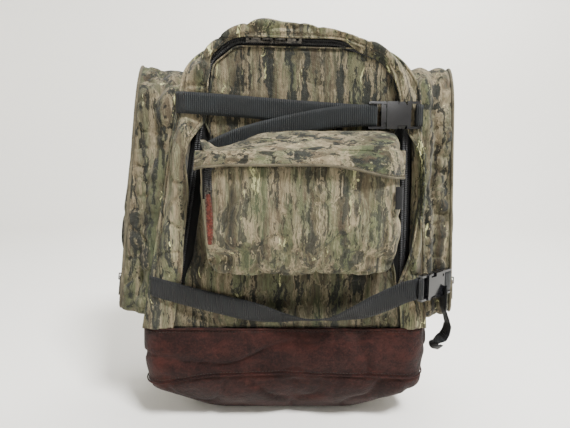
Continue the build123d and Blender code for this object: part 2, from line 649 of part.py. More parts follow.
with BuildPart() as shoulder_yoke:
    with BuildSketch(front_plane(YOKE_Y)):
        corners = [(LEAN_MID + x, z) for x, z in ((-95, 425), (-80, 478), (80, 478), (95, 425))]
        add(rounded(corners, [8, 14, 14, 8]))
    extrude(amount=YOKE_T)
    with BuildSketch(front_plane(PAD_Y + PAD_T / 2)):
        add(window(LEAN_MID - 78, LEAN_MID + 78, YOKE_Z, YOKE_Z + 20))
    extrude(amount=PAD_Y + PAD_T / 2 - YOKE_Y)
save(shoulder_yoke.part, "shoulder_yoke")


def out_x(way, out, z):
    """X of a point that lies out to one side from the leaning middle line of the back."""
    return LEAN_MID * z / YOKE_Z + way * out


LOCKS = {}
for side, way in (("left", -1), ("right", 1)):
    lock = Plane((out_x(way, 122, 214), PAD_Y + 3, 198), x_dir=(-1, 0, 0), z_dir=(0, 1, 0))
    LOCKS[way] = lock
    with BuildPart() as pad:
        with BuildSketch(front_plane(PAD_Y + PAD_T)):
            with BuildLine() as middle_line:
                FilletPolyline(*[(out_x(way, out, z), z) for out, z in PAD_LINE], radius=[90, 120])
            trace(middle_line.line, line_width=PAD_W)
        extrude(amount=PAD_T)
        fillet(pad.edges().filter_by(Axis.Y), radius=14)
        # The loop below the pad goes round the ladder-lock's top bar.
        low, high = LOCK_BAR - BAR_CLEAR, LOCK_BAR + BAR_CLEAR
        mid = LOCK_T / 2
        block(lock, -WEB / 2, WEB / 2, low - WEB_T, high + WEB_T, mid - BAR_CLEAR - WEB_T,
              mid + BAR_CLEAR + WEB_T)
        block(lock, -WEB / 2, WEB / 2, low, high, mid - BAR_CLEAR, mid + BAR_CLEAR, Mode.SUBTRACT)
        block(lock, -WEB / 2, WEB / 2, high + WEB_T - 0.2, 34, mid - WEB_T, mid + WEB_T)
    save(pad.part, f"{side}_shoulder_pad")

    with BuildPart() as ladder_lock:
        with BuildSketch(lock):
            RectangleRounded(33, 24, 3)
            with Locations((0, 7.5)):
                Rectangle(SLOT_W, 3.6, mode=Mode.SUBTRACT)
            with Locations((0, -2.0)):
                Rectangle(SLOT_W, 4.4, mode=Mode.SUBTRACT)
            with Locations((0, -8.6)):
                Rectangle(SLOT_W, 2.6, mode=Mode.SUBTRACT)
        extrude(amount=LOCK_T)
    save(ladder_lock.part, f"{side}_ladder_lock")

# The adjuster webbing bows out below the side pockets to the bag's lower back corners.
with BuildPart() as adjuster_webbing:
    for way, lock in LOCKS.items():
        start = (lock.origin.X + way * 4, lock.origin.Z - 26)
        lay_web(front_plane(HALF_DEPTH + 16), [start, (way * 205, 145), (way * 160, 112)], 22)
        ends = sorted((way * 150, way * 172))
        patch(front_plane(HALF_DEPTH + 14.5), *ends, 100, 124, 13.5)
save(adjuster_webbing.part, "adjuster_webbing")
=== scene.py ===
import math

import bpy
import numpy as np
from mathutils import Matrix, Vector, noise


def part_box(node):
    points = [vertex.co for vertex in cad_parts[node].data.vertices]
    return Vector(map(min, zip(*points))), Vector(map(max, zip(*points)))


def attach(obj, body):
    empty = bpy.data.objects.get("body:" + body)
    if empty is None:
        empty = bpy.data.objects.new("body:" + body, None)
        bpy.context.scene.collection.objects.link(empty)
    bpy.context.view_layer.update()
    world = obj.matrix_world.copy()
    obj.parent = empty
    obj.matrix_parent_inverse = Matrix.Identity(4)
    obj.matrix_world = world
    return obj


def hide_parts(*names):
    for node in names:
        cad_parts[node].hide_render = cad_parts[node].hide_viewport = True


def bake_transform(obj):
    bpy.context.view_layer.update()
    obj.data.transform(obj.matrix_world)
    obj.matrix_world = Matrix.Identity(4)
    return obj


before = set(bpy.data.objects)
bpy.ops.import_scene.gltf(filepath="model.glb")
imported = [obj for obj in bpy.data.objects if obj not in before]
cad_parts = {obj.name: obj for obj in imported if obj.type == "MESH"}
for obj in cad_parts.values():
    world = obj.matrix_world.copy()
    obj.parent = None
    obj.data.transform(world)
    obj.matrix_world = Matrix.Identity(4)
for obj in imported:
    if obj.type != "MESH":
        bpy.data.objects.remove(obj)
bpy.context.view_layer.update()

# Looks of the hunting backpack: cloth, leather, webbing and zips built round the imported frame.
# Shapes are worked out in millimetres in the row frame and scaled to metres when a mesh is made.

MM = 0.001
Z_UP = np.array([0.0, 0.0, 1.0])
FRONT = np.array([0.0, -1.0, 0.0])

# ---- sizes shared with the CAD ------------------------------------------------------------------
HALF_DEPTH = 90.0
LEATHER_TOP = 138.0
SHELL_CORNERS = [(-182, 138), (-117, 476), (-40, 536), (20, 530), (135, 488), (160, 440), (180, 138)]
SHELL_RADII = [0, 60, 60, 90, 60, 50, 0]
ZIP_CORNERS = [(-146, 138), (-90, 470), (-60, 494), (62, 491), (120, 470), (145, 420), (150, 138)]
ZIP_RADII = [0, 25, 30, 60, 40, 60, 0]
ZIP_END_Z = 200.0
POCKET_OUT, POCKET_YAW = 57.0, 14.0
SLANT = 1 / math.cos(math.radians(POCKET_YAW))
POCKET_FRONT, POCKET_BACK, POCKET_LOW, POCKET_HIGH = 78.0, -70.0, 12.0, 332.0
ZIP_INSET = 16.0
DOOR_UP = 60.3
FP_LEFT, FP_RIGHT, FP_LOW = -94.0, 130.0, 225.0
FP_FACE = -140.0
FP_ZIP_Z, FP_ZIP_X = 352.0, -85.0
FLAP_HINGE_Z = 363.0
WEB = 25.4
WEB_T = 1.7


# ---- curves -------------------------------------------------------------------------------------
def rounded_line(corners, radii, closed=False, step=3.0):
    """Points along a polyline whose corners are rounded by tangent arcs."""
    pts = [np.array(c, float) for c in corners]
    n = len(pts)
    out = []
    for i, p in enumerate(pts):
        r = radii[i]
        if r <= 0 or (not closed and i in (0, n - 1)):
            out.append(p)
            continue
        a, b = pts[i - 1], pts[(i + 1) % n]
        u, v = (a - p) / np.linalg.norm(a - p), (b - p) / np.linalg.norm(b - p)
        half = math.acos(np.clip(u @ v, -1, 1)) / 2
        reach = r / math.tan(half)
        centre = p + (u + v) / np.linalg.norm(u + v) * r / math.sin(half)
        start, end = p + u * reach - centre, p + v * reach - centre
        turn = math.pi - 2 * half
        k = max(3, int(r * turn / step))
        axis_sign = 1.0 if (start[0] * end[1] - start[1] * end[0]) > 0 else -1.0
        for j in range(k + 1):
            t = axis_sign * turn * j / k
            c, s = math.cos(t), math.sin(t)
            out.append(centre + np.array([c * start[0] - s * start[1], s * start[0] + c * start[1]]))
    if closed:
        out.append(out[0])
    return np.array(out)


def resample(pts, n):
    """n points evenly spaced along a line of points, in two or three dimensions."""
    seg = np.linalg.norm(np.diff(pts, axis=0), axis=1)
    s = np.concatenate([[0], np.cumsum(seg)])
    t = np.linspace(0, s[-1], n)
    return np.stack([np.interp(t, s, pts[:, k]) for k in range(pts.shape[1])], axis=1)


def length_of(pts):
    return float(np.linalg.norm(np.diff(pts, axis=0), axis=1).sum())


def relax(line, rounds, closed=False):
    """A line whose points are averaged with their neighbours. An open line's ends stay."""
    for _ in range(rounds):
        if closed:
            line = 0.5 * line + 0.25 * (np.roll(line, 1, axis=0) + np.roll(line, -1, axis=0))
        else:
            line[1:-1] = 0.5 * line[1:-1] + 0.25 * (line[:-2] + line[2:])
    return line


def smooth_line(pts, n, rounds=6):
    """A soft 3-D curve through rough points: resampled, then relaxed with its ends held."""
    return resample(relax(resample(np.array(pts, float), n), rounds * n // 20), n)


def side_normals(pts, closed=False):
    """Unit normals to the left of a 2-D line's direction."""
    if closed:
        d = np.roll(pts, -1, axis=0) - np.roll(pts, 1, axis=0)
    else:
        d = np.gradient(pts, axis=0)
    d /= np.linalg.norm(d, axis=1)[:, None]
    return np.stack([-d[:, 1], d[:, 0]], axis=1)


def outer_normals(pts, middle, closed=False):
    """Unit normals of a 2-D line, turned away from a middle point."""
    normal = side_normals(pts, closed)
    return -normal if ((pts - middle) * normal).sum() < 0 else normal


def unit(v):
    v = np.asarray(v, float)
    return v / np.maximum(np.linalg.norm(v, axis=-1, keepdims=True), 1e-9)


def ease(x, a, b):
    """0 below a, 1 above b, smooth between."""
    t = np.clip((np.asarray(x, float) - a) / (b - a), 0, 1)
    return t * t * (3 - 2 * t)


# ---- noise --------------------------------------------------------------------------------------
def soft_noise(P, size, seed=0.0, stretch=(1, 1, 1)):
    """Perlin noise in -1..1 at each point, with lumps about `size` millimetres across."""
    flat = np.asarray(P, float).reshape(-1, 3) / (size * np.array(stretch, float)) + seed * 7.31
    vals = np.fromiter((noise.noise(Vector(p)) for p in flat), float, len(flat))
    return vals.reshape(np.asarray(P).shape[:-1]) * 1.6


def crease(P, size, seed=0.0, stretch=(1, 1, 1)):
    """Sharp folds between soft cushions: 0 on the cushions, up to 1 along a crease."""
    n = np.abs(soft_noise(P, size, seed, stretch))
    return np.clip(1 - n * 3.0, 0, 1) ** 2


# ---- meshes -------------------------------------------------------------------------------------
def make_mesh(name, verts, faces, material):
    """A mesh object from millimetre vertices. It rides on nothing yet."""
    mesh = bpy.data.meshes.new(name)
    mesh.from_pydata([tuple(v) for v in np.asarray(verts, float) * MM], [],
                     [tuple(int(i) for i in f) for f in faces])
    mesh.validate()
    obj = bpy.data.objects.new(name, mesh)
    bpy.context.scene.collection.objects.link(obj)
    for poly in mesh.polygons:
        poly.use_smooth = True
    if material is not None:
        mesh.materials.append(material)
    return obj


def grid_faces(nu, nv, closed_u=False, closed_v=False, flip=False):
    faces = []
    for i in range(nu if closed_u else nu - 1):
        for j in range(nv if closed_v else nv - 1):
            a, b = i * nv + j, ((i + 1) % nu) * nv + j
            c, d = ((i + 1) % nu) * nv + (j + 1) % nv, i * nv + (j + 1) % nv
            faces.append((d, c, b, a) if flip else (a, b, c, d))
    return faces


def grid_of(row_at, n, end=1.0):
    """A grid of points whose n rows are worked out one by one, for t from 0 to `end`."""
    return np.stack([row_at(t) for t in np.linspace(0, end, n)], axis=1)


def push(P, normal, shape, by=1.0):
    """Moves a grid's points along their normals."""
    return P + normal * (shape * by)[..., None]


def grid_normals(P, outward):
    """Normals of a grid of points, turned to the side of the given direction or point function."""
    du, dv = np.gradient(P, axis=0), np.gradient(P, axis=1)
    n = unit(np.cross(du, dv))
    if (n * outward(P)).sum(-1).mean() < 0:
        n = -n
    return n


def cloth_grid(name, P, material, outward, thickness=1.6, closed_u=False):
    """A sheet of cloth with thickness inward from a grid of points."""
    n = grid_normals(P, outward)
    du, dv = np.gradient(P, axis=0), np.gradient(P, axis=1)
    flip = (np.cross(du, dv) * n).sum(-1).mean() < 0
    nu, nv = P.shape[:2]
    obj = make_mesh(name, P.reshape(-1, 3), grid_faces(nu, nv, closed_u, flip=flip), material)
    mod = obj.modifiers.new("thick", "SOLIDIFY")
    mod.thickness = thickness * MM
    mod.offset = -1
    bake(obj)
    return obj


def bake(obj):
    """Applies the object's modifiers."""
    depsgraph = bpy.context.evaluated_depsgraph_get()
    done = bpy.data.meshes.new_from_object(obj.evaluated_get(depsgraph))
    obj.modifiers.clear()
    obj.data = done
    for poly in done.polygons:
        poly.use_smooth = True


def join(name, objs):
    """Joins meshes into one object."""
    verts, faces, mats, face_mats, base = [], [], [], [], 0
    for o in objs:
        slots = []
        for m in o.data.materials:
            if m not in mats:
                mats.append(m)
            slots.append(mats.index(m))
        verts += [tuple(v.co) for v in o.data.vertices]
        for poly in o.data.polygons:
            faces.append(tuple(base + i for i in poly.vertices))
            face_mats.append(slots[poly.material_index] if slots else 0)
        base += len(o.data.vertices)
        bpy.data.objects.remove(o)
    mesh = bpy.data.meshes.new(name)
    mesh.from_pydata(verts, [], faces)
    obj = bpy.data.objects.new(name, mesh)
    bpy.context.scene.collection.objects.link(obj)
    for m in mats:
        mesh.materials.append(m)
    for poly, k in zip(mesh.polygons, face_mats):
        poly.use_smooth = True
        poly.material_index = k
    return obj


def with_ends(faces, rings, k):
    """Closes a tube of k-sided rings at both ends."""
    last = (rings - 1) * k
    return faces + [tuple(range(k)), tuple(last + j for j in reversed(range(k)))]


def tube(name, line, radius, material, closed=False):
    """A round cord along a 3-D line."""
    sides = 8
    line = np.asarray(line, float)
    if closed:
        t = unit(np.roll(line, -1, axis=0) - np.roll(line, 1, axis=0))
    else:
        t = unit(np.gradient(line, axis=0))
    ref = np.where(np.abs(t @ Z_UP)[:, None] > 0.95, np.array([1.0, 0, 0]), Z_UP)
    a = unit(np.cross(t, ref))
    for i in range(1, len(a)):
        if a[i] @ a[i - 1] < 0:
            a[i] = -a[i]
    b = np.cross(t, a)
    angle = np.linspace(0, 2 * math.pi, sides, endpoint=False)
    ring = np.cos(angle)[None, :, None] * a[:, None] + np.sin(angle)[None, :, None] * b[:, None]
    P = line[:, None] + radius * ring
    faces = grid_faces(len(line), sides, closed_u=closed, closed_v=True)
    if not closed:
        faces = with_ends(faces, len(line), sides)
    return make_mesh(name, P.reshape(-1, 3), faces, material)


def ribbon(name, line, across, material):
    """A strip of webbing along a line. `across` is the direction of its width, once or at each point."""
    line = np.asarray(line, float)
    across = unit(np.broadcast_to(np.asarray(across, float), line.shape))
    t = unit(np.gradient(line, axis=0))
    across = unit(across - (across * t).sum(-1, keepdims=True) * t)
    n = np.cross(t, across)
    w = np.linspace(-0.5, 0.5, 7)
    bevel = np.where(np.abs(w) > 0.49, 0.45, 1.0)
    top = [(x * WEB, bev * WEB_T / 2) for x, bev in zip(w, bevel)]
    section = top + [(x, -h) for x, h in reversed(top)]
    P = np.stack([line + across * x + n * h for x, h in section], axis=1)
    k = len(section)
    faces = with_ends(grid_faces(len(line), k, closed_v=True), len(line), k)
    return make_mesh(name, P.reshape(-1, 3), faces, material)


def lumps(name, centres, along, across, up, size, material):
    """Many small bars in one mesh: each has its own centre and directions. Size is half extents."""
    shape = []
    for s, k in ((-1.0, 0.62), (-0.72, 1.0), (0.72, 1.0), (1.0, 0.62)):
        for a in np.linspace(0, 2 * math.pi, 6, endpoint=False):
            shape.append((s * size[0], k * math.cos(a) * size[1], k * math.sin(a) * size[2]))
    shape = np.array(shape)
    faces = [(r * 6 + j, r * 6 + (j + 1) % 6, (r + 1) * 6 + (j + 1) % 6, (r + 1) * 6 + j)
             for r in range(3) for j in range(6)]
    faces += [tuple(reversed(range(6))), tuple(range(18, 24))]
    verts = (centres[:, None] + shape[None, :, 0:1] * along[:, None]
             + shape[None, :, 1:2] * across[:, None] + shape[None, :, 2:3] * up[:, None])
    every = [tuple(len(shape) * i + q for q in f) for i in range(len(centres)) for f in faces]
    return make_mesh(name, verts.reshape(-1, 3), every, material)


def stitches(line, up, material, pitch=4.2, length=2.7, radius=0.42):
    """A row of thread stitches that lie on a surface along a 3-D line."""
    n = max(2, int(length_of(line) / pitch))
    line = resample(np.asarray(line, float), n)
    t = unit(np.gradient(line, axis=0))
    up = unit(np.broadcast_to(np.asarray(up, float), t.shape).copy())
    side = unit(np.cross(t, up))
    size = (length / 2, radius, radius * 0.8)
    return lumps("thread", line, t, side, np.cross(side, t), size, material)


def zip_teeth(line, face, side, shift=0.0):
    """One half of a coil zip: short bars across the line, on one side of it (1 or -1)."""
    pitch, gap, reach = 2.3, 0.25, 3.3
    n = max(2, int(length_of(line) / pitch))
    line = resample(np.asarray(line, float), n)
    t = unit(np.gradient(line, axis=0))
    face = unit(np.broadcast_to(np.asarray(face, float), t.shape).copy())
    across = unit(np.cross(t, face)) * side
    centres = line + across * (gap + reach / 2) + t * shift * pitch
    return lumps("teeth", centres, across, t, face, (reach / 2 + 0.4, pitch * 0.40, 1.15), TEETH)


def place(obj, body, *nodes, slot=None):
    """Puts a finished piece on its body, in the place of CAD nodes."""
    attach(obj, body)
    if nodes:
        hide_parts(*nodes)
    return obj


# ---- materials ----------------------------------------------------------------------------------
def colour(r, g, b):
    """Linear colour from everyday 0..255 values."""
    def lin(c):
        c /= 255
        return c / 12.92 if c <= 0.04045 else ((c + 0.055) / 1.055) ** 2.4
    return (lin(r), lin(g), lin(b), 1.0)


def toned(tint, *by):
    """A colour darker or lighter than the tint by one factor, or by one for each channel."""
    return colour(*(c * k for c, k in zip(tint, by * 3 if len(by) == 1 else by)))


class Shader:
    """A small builder for node materials."""

    def __init__(self, name, roughness=0.8, base=None, specular=0.3):
        self.mat = bpy.data.materials.new(name)
        self.mat.use_nodes = True
        self.tree = self.mat.node_tree
        self.tree.nodes.clear()
        self.bsdf = self.tree.nodes.new("ShaderNodeBsdfPrincipled")
        out = self.tree.nodes.new("ShaderNodeOutputMaterial")
        self.tree.links.new(self.bsdf.outputs["BSDF"], out.inputs["Surface"])
        self.bsdf.inputs["Roughness"].default_value = roughness
        self.bsdf.inputs["Specular IOR Level"].default_value = specular
        if base:
            self.bsdf.inputs["Base Color"].default_value = base

    def node(self, kind, inputs=None, **settings):
        n = self.tree.nodes.new(kind)
        for k, v in settings.items():
            setattr(n, k, v)
        for k, v in (inputs or {}).items():
            self.join(v, n.inputs[k])
        return n

    def join(self, value, socket):
        """Gives a socket a link when the value is another node's output, and a plain value otherwise."""
        if hasattr(value, "is_output"):
            self.tree.links.new(value, socket)
        else:
            socket.default_value = value

    def coords(self, scale=(1, 1, 1), offset=(0, 0, 0), rotation=(0, 0, 0)):
        tex = self.node("ShaderNodeTexCoord")
        return self.node("ShaderNodeMapping", {"Vector": tex.outputs["Object"], "Location": offset,
                                               "Rotation": rotation, "Scale": scale}).outputs[0]

    def noise(self, vector, scale, detail=3.0, rough=0.55, distortion=0.0):
        inputs = {"Vector": vector, "Scale": scale, "Detail": detail, "Roughness": rough,
                  "Distortion": distortion}
        return self.node("ShaderNodeTexNoise", inputs).outputs["Fac"]

    def wave(self, vector, scale, direction, more):
        return self.node("ShaderNodeTexWave", {"Vector": vector, "Scale": scale, **more},
                         bands_direction=direction).outputs["Fac"]

    def ramp(self, fac, stops, mode="LINEAR"):
        n = self.node("ShaderNodeValToRGB", {"Fac": fac})
        n.color_ramp.interpolation = mode
        els = n.color_ramp.elements
        while len(els) < len(stops):
            els.new(0.5)
        for e, (at, col) in zip(els, stops):
            e.position = at
            e.color = col if hasattr(col, "__len__") else (col, col, col, 1)
        return n.outputs["Color"]

    def mix(self, fac, a, b, blend="MIX"):
        n = self.node("ShaderNodeMix", {0: fac, 6: a, 7: b}, data_type="RGBA", blend_type=blend)
        return n.outputs[2]

    def maths(self, op, a, b=0.0):
        return self.node("ShaderNodeMath", {0: a, 1: b}, operation=op).outputs[0]

    def layer(self, base, fac, stops, col, mode="LINEAR"):
        """Lays a colour over the base where the ramped noise says."""
        return self.mix(self.ramp(fac, stops, mode), base, col)

    def vary(self, base, fac, stops):
        """Darkens and lightens the base by a ramped noise."""
        return self.mix(1.0, base, self.ramp(fac, stops), "MULTIPLY")

    def put(self, socket, value):
        self.join(value, self.bsdf.inputs[socket])

    def bump(self, height, strength, distance, under=None):
        inputs = {"Height": height, "Strength": strength, "Distance": distance}
        if under is not None:
            inputs["Normal"] = under
        return self.node("ShaderNodeBump", inputs).outputs["Normal"]


def camo(name, offset=(0, 0, 0), along="z", painted_light=1.0, size=1.0, fleck=1.0, depth=1.0):
    """Printed bark camouflage: long torn streaks in charcoal, browns, tans, olive and pale yellow."""
    s = Shader(name, roughness=0.9, specular=0.12)
    squeeze = {"z": (1, 1, 0.10), "xz": (0.34, 1, 0.62)}[along]
    # On cloth that faces up the bark runs from front to back, as it does on a panel laid over the top.
    tex = s.node("ShaderNodeTexCoord")
    x, y, z = s.node("ShaderNodeSeparateXYZ", {"Vector": tex.outputs["Object"]}).outputs
    laid = s.node("ShaderNodeCombineXYZ", {"X": x, "Y": z, "Z": y}).outputs[0]
    up = s.node("ShaderNodeSeparateXYZ", {"Vector": tex.outputs["Normal"]}).outputs[2]
    facing_up = s.maths("GREATER_THAN", up, 0.68)
    way = s.node("ShaderNodeMix", {0: facing_up, 4: tex.outputs["Object"], 5: laid},
                 data_type="VECTOR").outputs[1]
    at = s.node("ShaderNodeMapping", {"Vector": way, "Location": offset}).outputs[0]

    def vector(op, a, b):
        return s.node("ShaderNodeVectorMath", {0: a, 1: b}, operation=op).outputs[0]

    def bent(push, scale, move=(0, 0, 0), tall=1.0):
        """Coordinates drawn out along the bark and pushed about a little, for one layer of print."""
        wobble = s.node("ShaderNodeTexNoise", {"Vector": at, "Scale": scale, "Detail": 3.0})
        wobble = vector("SUBTRACT", wobble.outputs["Color"], (0.5, 0.5, 0.5))
        wobble = vector("MULTIPLY", wobble, push)
        drawn = (squeeze[0] / size, squeeze[1] / size, squeeze[2] * tall / size)
        return s.node("ShaderNodeMapping", {"Vector": vector("ADD", at, wobble), "Scale": drawn,
                                            "Location": move}).outputs[0]

    # Broad soft bands of bark, then narrower ones with printed edges.
    broad = s.noise(bent((0.008, 0.008, 0.03), 18), 40, 2, 0.5)
    base = s.ramp(broad, [(0.34, colour(46, 45, 38)), (0.43, colour(82, 75, 58)),
                          (0.50, colour(92, 89, 70)), (0.57, colour(116, 103, 83)),
                          (0.66, colour(70, 69, 54))])
    narrow = s.noise(bent((0.008, 0.008, 0.03), 40, (2.2, 5.1, 0.7)), 84, 3, 0.6, 0.2)
    tan = [(0.0, 0.0), (0.555, 0.75), (0.61, 0.0), (0.655, 0.6)]
    base = s.layer(base, narrow, tan, colour(126, 113, 92), "CONSTANT")
    brown = [(0.0, 0.7), (0.41, 0.0), (0.46, 0.5), (0.485, 0.0)]
    base = s.layer(base, narrow, brown, colour(68, 57, 45), "CONSTANT")
    moss = s.noise(bent((0.012, 0.012, 0.03), 30, (5.0, 2.0, 1.0), 1.6), 34, 3, 0.6)
    base = s.layer(base, moss, [(0.53, 0.0), (0.60, 0.55)], colour(74, 80, 56))
    # Charcoal bark furrows with ragged edges, in two widths.
    deep = s.noise(bent((0.012, 0.012, 0.03), 55, (3.1, 1.7, 0.4)), 62, 5, 0.72, 0.3)
    base = s.layer(base, deep, [(0.548, 0.0), (0.566, 0.94 * depth)], colour(38, 39, 36))
    thin = s.noise(bent((0.010, 0.010, 0.02), 60, (9.4, 3.3, 6.1), 0.7), 150, 3, 0.6, 0.3)
    base = s.layer(base, thin, [(0.60, 0.0), (0.615, 0.9 * depth)], colour(32, 32, 28))
    # Pale flecks, each with a dark rim.
    pale = s.noise(bent((0.010, 0.010, 0.02), 60, (7.7, 4.2, 2.3), 1.3), 80, 4, 0.66, 0.4)
    base = s.layer(base, pale, [(0.632, 0.0), (0.638, 0.9 * fleck)], colour(44, 42, 32))
    base = s.layer(base, pale, [(0.650, 0.0), (0.658, fleck)], colour(186, 180, 132))
    # Thread-fine vertical bark grain, then slow fading and wear.
    grain = s.noise(bent((0.004, 0.004, 0.01), 90, (1.0, 9.0, 3.0), 0.8), 380, 4, 0.75)
    base = s.vary(base, grain, [(0.3, 0.58), (0.7, 1.34)])
    base = s.vary(base, s.noise(at, 9, 3, 0.6), [(0.3, 0.82), (0.7, 1.14)])
    base = s.layer(base, s.noise(at, 170, 6, 0.78), [(0.58, 0.0), (0.76, 0.32)], colour(148, 140, 120))
    # A factor scales each copy's whole print lighter or darker: painted light and shade for the piece it
    # covers. The small red and green split is the print's own hue.
    base = s.mix(1.0, base, (painted_light * 0.98, painted_light * 1.02, painted_light, 1), "MULTIPLY")
    s.put("Base Color", base)
    weave = s.wave(at, 260.0, "DIAGONAL", {"Distortion": 2.0, "Detail": 1.0})
    cloth = s.bump(weave, 0.18, 0.0006)
    rumple = s.bump(s.noise(at, 34, 5, 0.62, 0.4), 0.8, 0.009, cloth)
    s.put("Normal", s.bump(s.noise(at, 190, 4, 0.7), 0.35, 0.0012, rumple))
    s.put("Sheen Weight", 0.06)
    s.put("Sheen Roughness", 0.6)
    return s.mat


def suede(name, tint=(31, 12.5, 9.5), painted_light=1.0):
    """Brushed leather: a mottled nap with paler scuffs and rubbed creases."""
    s = Shader(name, roughness=0.85, specular=0.14)
    at = s.coords()
    mottle = s.noise(at, 26, 6, 0.68, 0.6)
    # Scaling the whole tint is painted light: a darker copy stands in for leather in shade.
    tint = [c * painted_light for c in tint]
    base = s.ramp(mottle, [(0.32, toned(tint, 0.72, 0.66, 0.64)), (0.50, colour(*tint)),
                           (0.68, toned(tint, 1.28, 1.34, 1.36))])
    grain = s.noise(at, 420, 5, 0.7)
    base = s.vary(base, grain, [(0.34, 0.62), (0.5, 0.96), (0.66, 1.45)])
    nubs = s.noise(at, 210, 4, 0.78)
    base = s.vary(base, nubs, [(0.36, 0.55), (0.5, 0.98), (0.66, 1.6)])
    scuff_at = s.coords(scale=(1, 1, 1.6), offset=(0.4, 0.2, 0.1))
    scuff = s.noise(scuff_at, 16, 9, 0.8, 0.8)
    base = s.layer(base, scuff, [(0.50, 0.0), (0.68, 0.62)], toned(tint, 2.1, 2.4, 2.5))
    scratch_at = s.coords(scale=(0.25, 1, 1.4), rotation=(0, 0.25, 0))
    scratch = s.maths("ABSOLUTE", s.maths("SUBTRACT", s.noise(scratch_at, 60, 3, 0.5, 2.0), 0.5))
    base = s.layer(base, scratch, [(0.002, 0.45), (0.012, 0.0)], toned(tint, 0.5, 0.45, 0.42))
    s.put("Base Color", base)
    s.put("Roughness", s.ramp(mottle, [(0.3, 0.88), (0.7, 0.66)]))
    nap = s.bump(grain, 0.45, 0.0010)
    s.put("Normal", s.bump(mottle, 0.5, 0.0045, nap))
    s.put("Sheen Weight", 0.05)
    s.put("Sheen Roughness", 0.5)
    return s.mat


def webbing(name, along, tint=(19, 23, 25)):
    """Ribbed polyester webbing. Along is the axis that its ribs cross: X, Y or Z."""
    s = Shader(name, roughness=0.62, specular=0.3)
    at = s.coords()
    ribs = s.wave(at, 135.0, along, {"Distortion": 0.5, "Detail": 1.0, "Detail Scale": 3.0})
    worn = s.noise(at, 45, 5, 0.65)
    base = s.ramp(worn, [(0.32, toned(tint, 0.62)), (0.55, colour(*tint)),
                         (0.75, toned(tint, 1.5, 1.5, 1.47))])
    # The grooves between the ribs are darkened in the colour: painted shade in them, beside the bump.
    base = s.layer(base, ribs, [(0.2, 0.6), (0.7, 0.0)], toned(tint, 0.3))
    s.put("Base Color", base)
    s.put("Normal", s.bump(s.noise(at, 900, 2, 0.6), 0.3, 0.0004, s.bump(ribs, 0.7, 0.0012)))
    s.put("Sheen Weight", 0.03)
    return s.mat


def plain_cloth(name, tint, wear=0.25):
    """Plain woven cloth with thread and wear."""
    s = Shader(name, roughness=0.85, specular=0.2)
    at = s.coords()
    worn = s.noise(at, 60, 5, 0.7)
    s.put("Base Color", s.ramp(worn, [(0.3, toned(tint, 1 - wear)), (0.7, toned(tint, 1 + wear))]))
    s.put("Normal", s.bump(s.noise(at, 700, 3, 0.6), 0.5, 0.0008))
    s.put("Sheen Weight", 0.06)
    return s.mat


def mesh_fabric(name, tint):
    """Air mesh over foam: a regular net of small holes."""
    s = Shader(name, roughness=0.8, specular=0.25)
    at = s.coords()
    cells = s.node("ShaderNodeTexVoronoi", {"Vector": at, "Scale": 330.0, "Randomness": 0.25})
    cells = cells.outputs["Distance"]
    # The holes are painted dark: painted shade down in each hole of the net.
    base = s.ramp(cells, [(0.18, toned(tint, 0.35)), (0.42, colour(*tint))])
    s.put("Base Color", s.vary(base, s.noise(at, 22, 4, 0.6), [(0.3, 0.8), (0.7, 1.25)]))
    s.put("Normal", s.bump(cells, 0.7, 0.0012))
    return s.mat


def moulded(name, tint, roughness):
    """Glossy moulded plastic with faint scuffs."""
    s = Shader(name, roughness=roughness, specular=0.55)
    at = s.coords()
    wear = s.noise(at, 180, 6, 0.7)
    s.put("Base Color", s.ramp(wear, [(0.35, toned(tint, 0.9)), (0.72, toned(tint, 1.25))]))
    dull = s.noise(at, 90, 5, 0.65)
    s.put("Roughness", s.ramp(dull, [(0.35, roughness * 0.9), (0.7, roughness * 1.3)]))
    s.put("Normal", s.bump(s.noise(at, 700, 3, 0.6), 0.12, 0.0005))
    return s.mat


def metal(name, tint, roughness=0.38):
    """Darkened zip metal, brighter where it rubs."""
    s = Shader(name, roughness=roughness, specular=0.5)
    at = s.coords()
    rub = s.noise(at, 240, 5, 0.7)
    s.put("Base Color", s.ramp(rub, [(0.4, colour(*tint)), (0.68, toned(tint, 2.6, 2.55, 2.4))]))
    s.put("Metallic", 0.85)
    s.put("Roughness", s.ramp(rub, [(0.35, roughness * 1.25), (0.7, roughness * 0.7)]))
    s.put("Normal", s.bump(rub, 0.15, 0.0005))
    return s.mat


# Each piece's copy of the camo has its own brightness factor, and that factor is painted light: the
# frame's, front pocket's and flap's copies are brightened as if lit, and the panel's, gusset's and side
# pockets' copies are darkened as painted shade. Offset, size, fleck and depth only change the print.
CAMO = camo("camo_panel", painted_light=0.72, size=0.82, fleck=0.75)
CAMO_FRAME = camo("camo_frame", offset=(0.31, 0.12, 0.05), painted_light=1.22, size=0.92, fleck=0.8)
CAMO_GUSSET = camo("camo_gusset", offset=(0.62, 0.4, 0.2), painted_light=0.84)
CAMO_POCKET = camo("camo_pocket", offset=(0.17, 0.55, 0.33), size=0.80, painted_light=1.10, fleck=0.55,
                   depth=0.8)
CAMO_FLAP = camo("camo_flap", offset=(0.9, 0.2, 0.7), along="xz", painted_light=1.08, size=0.8, fleck=0.3)
CAMO_SIDE = camo("camo_side", offset=(1.3, 0.8, 0.15), size=1.05, painted_light=0.88, fleck=0.8)
SUEDE = suede("suede_band")
# The base's leather is the band's, set a touch darker as painted shade.
SUEDE_LOW = suede("suede_base", painted_light=0.97)
PULL_LEATHER = suede("pull_leather", tint=(58, 27, 21))
WEB_X = webbing("webbing_x", "X")
# The webbing along z is set a little darker than the webbing along x, as painted shade.
WEB_Z = webbing("webbing_z", "Z", (19, 21, 23))
# The lower strap's webbing is a darker copy of the same webbing: painted shade on the strap that hangs
# below the pocket.
WEB_SHADED = webbing("webbing_painted_shade", "X", (13, 15, 17))
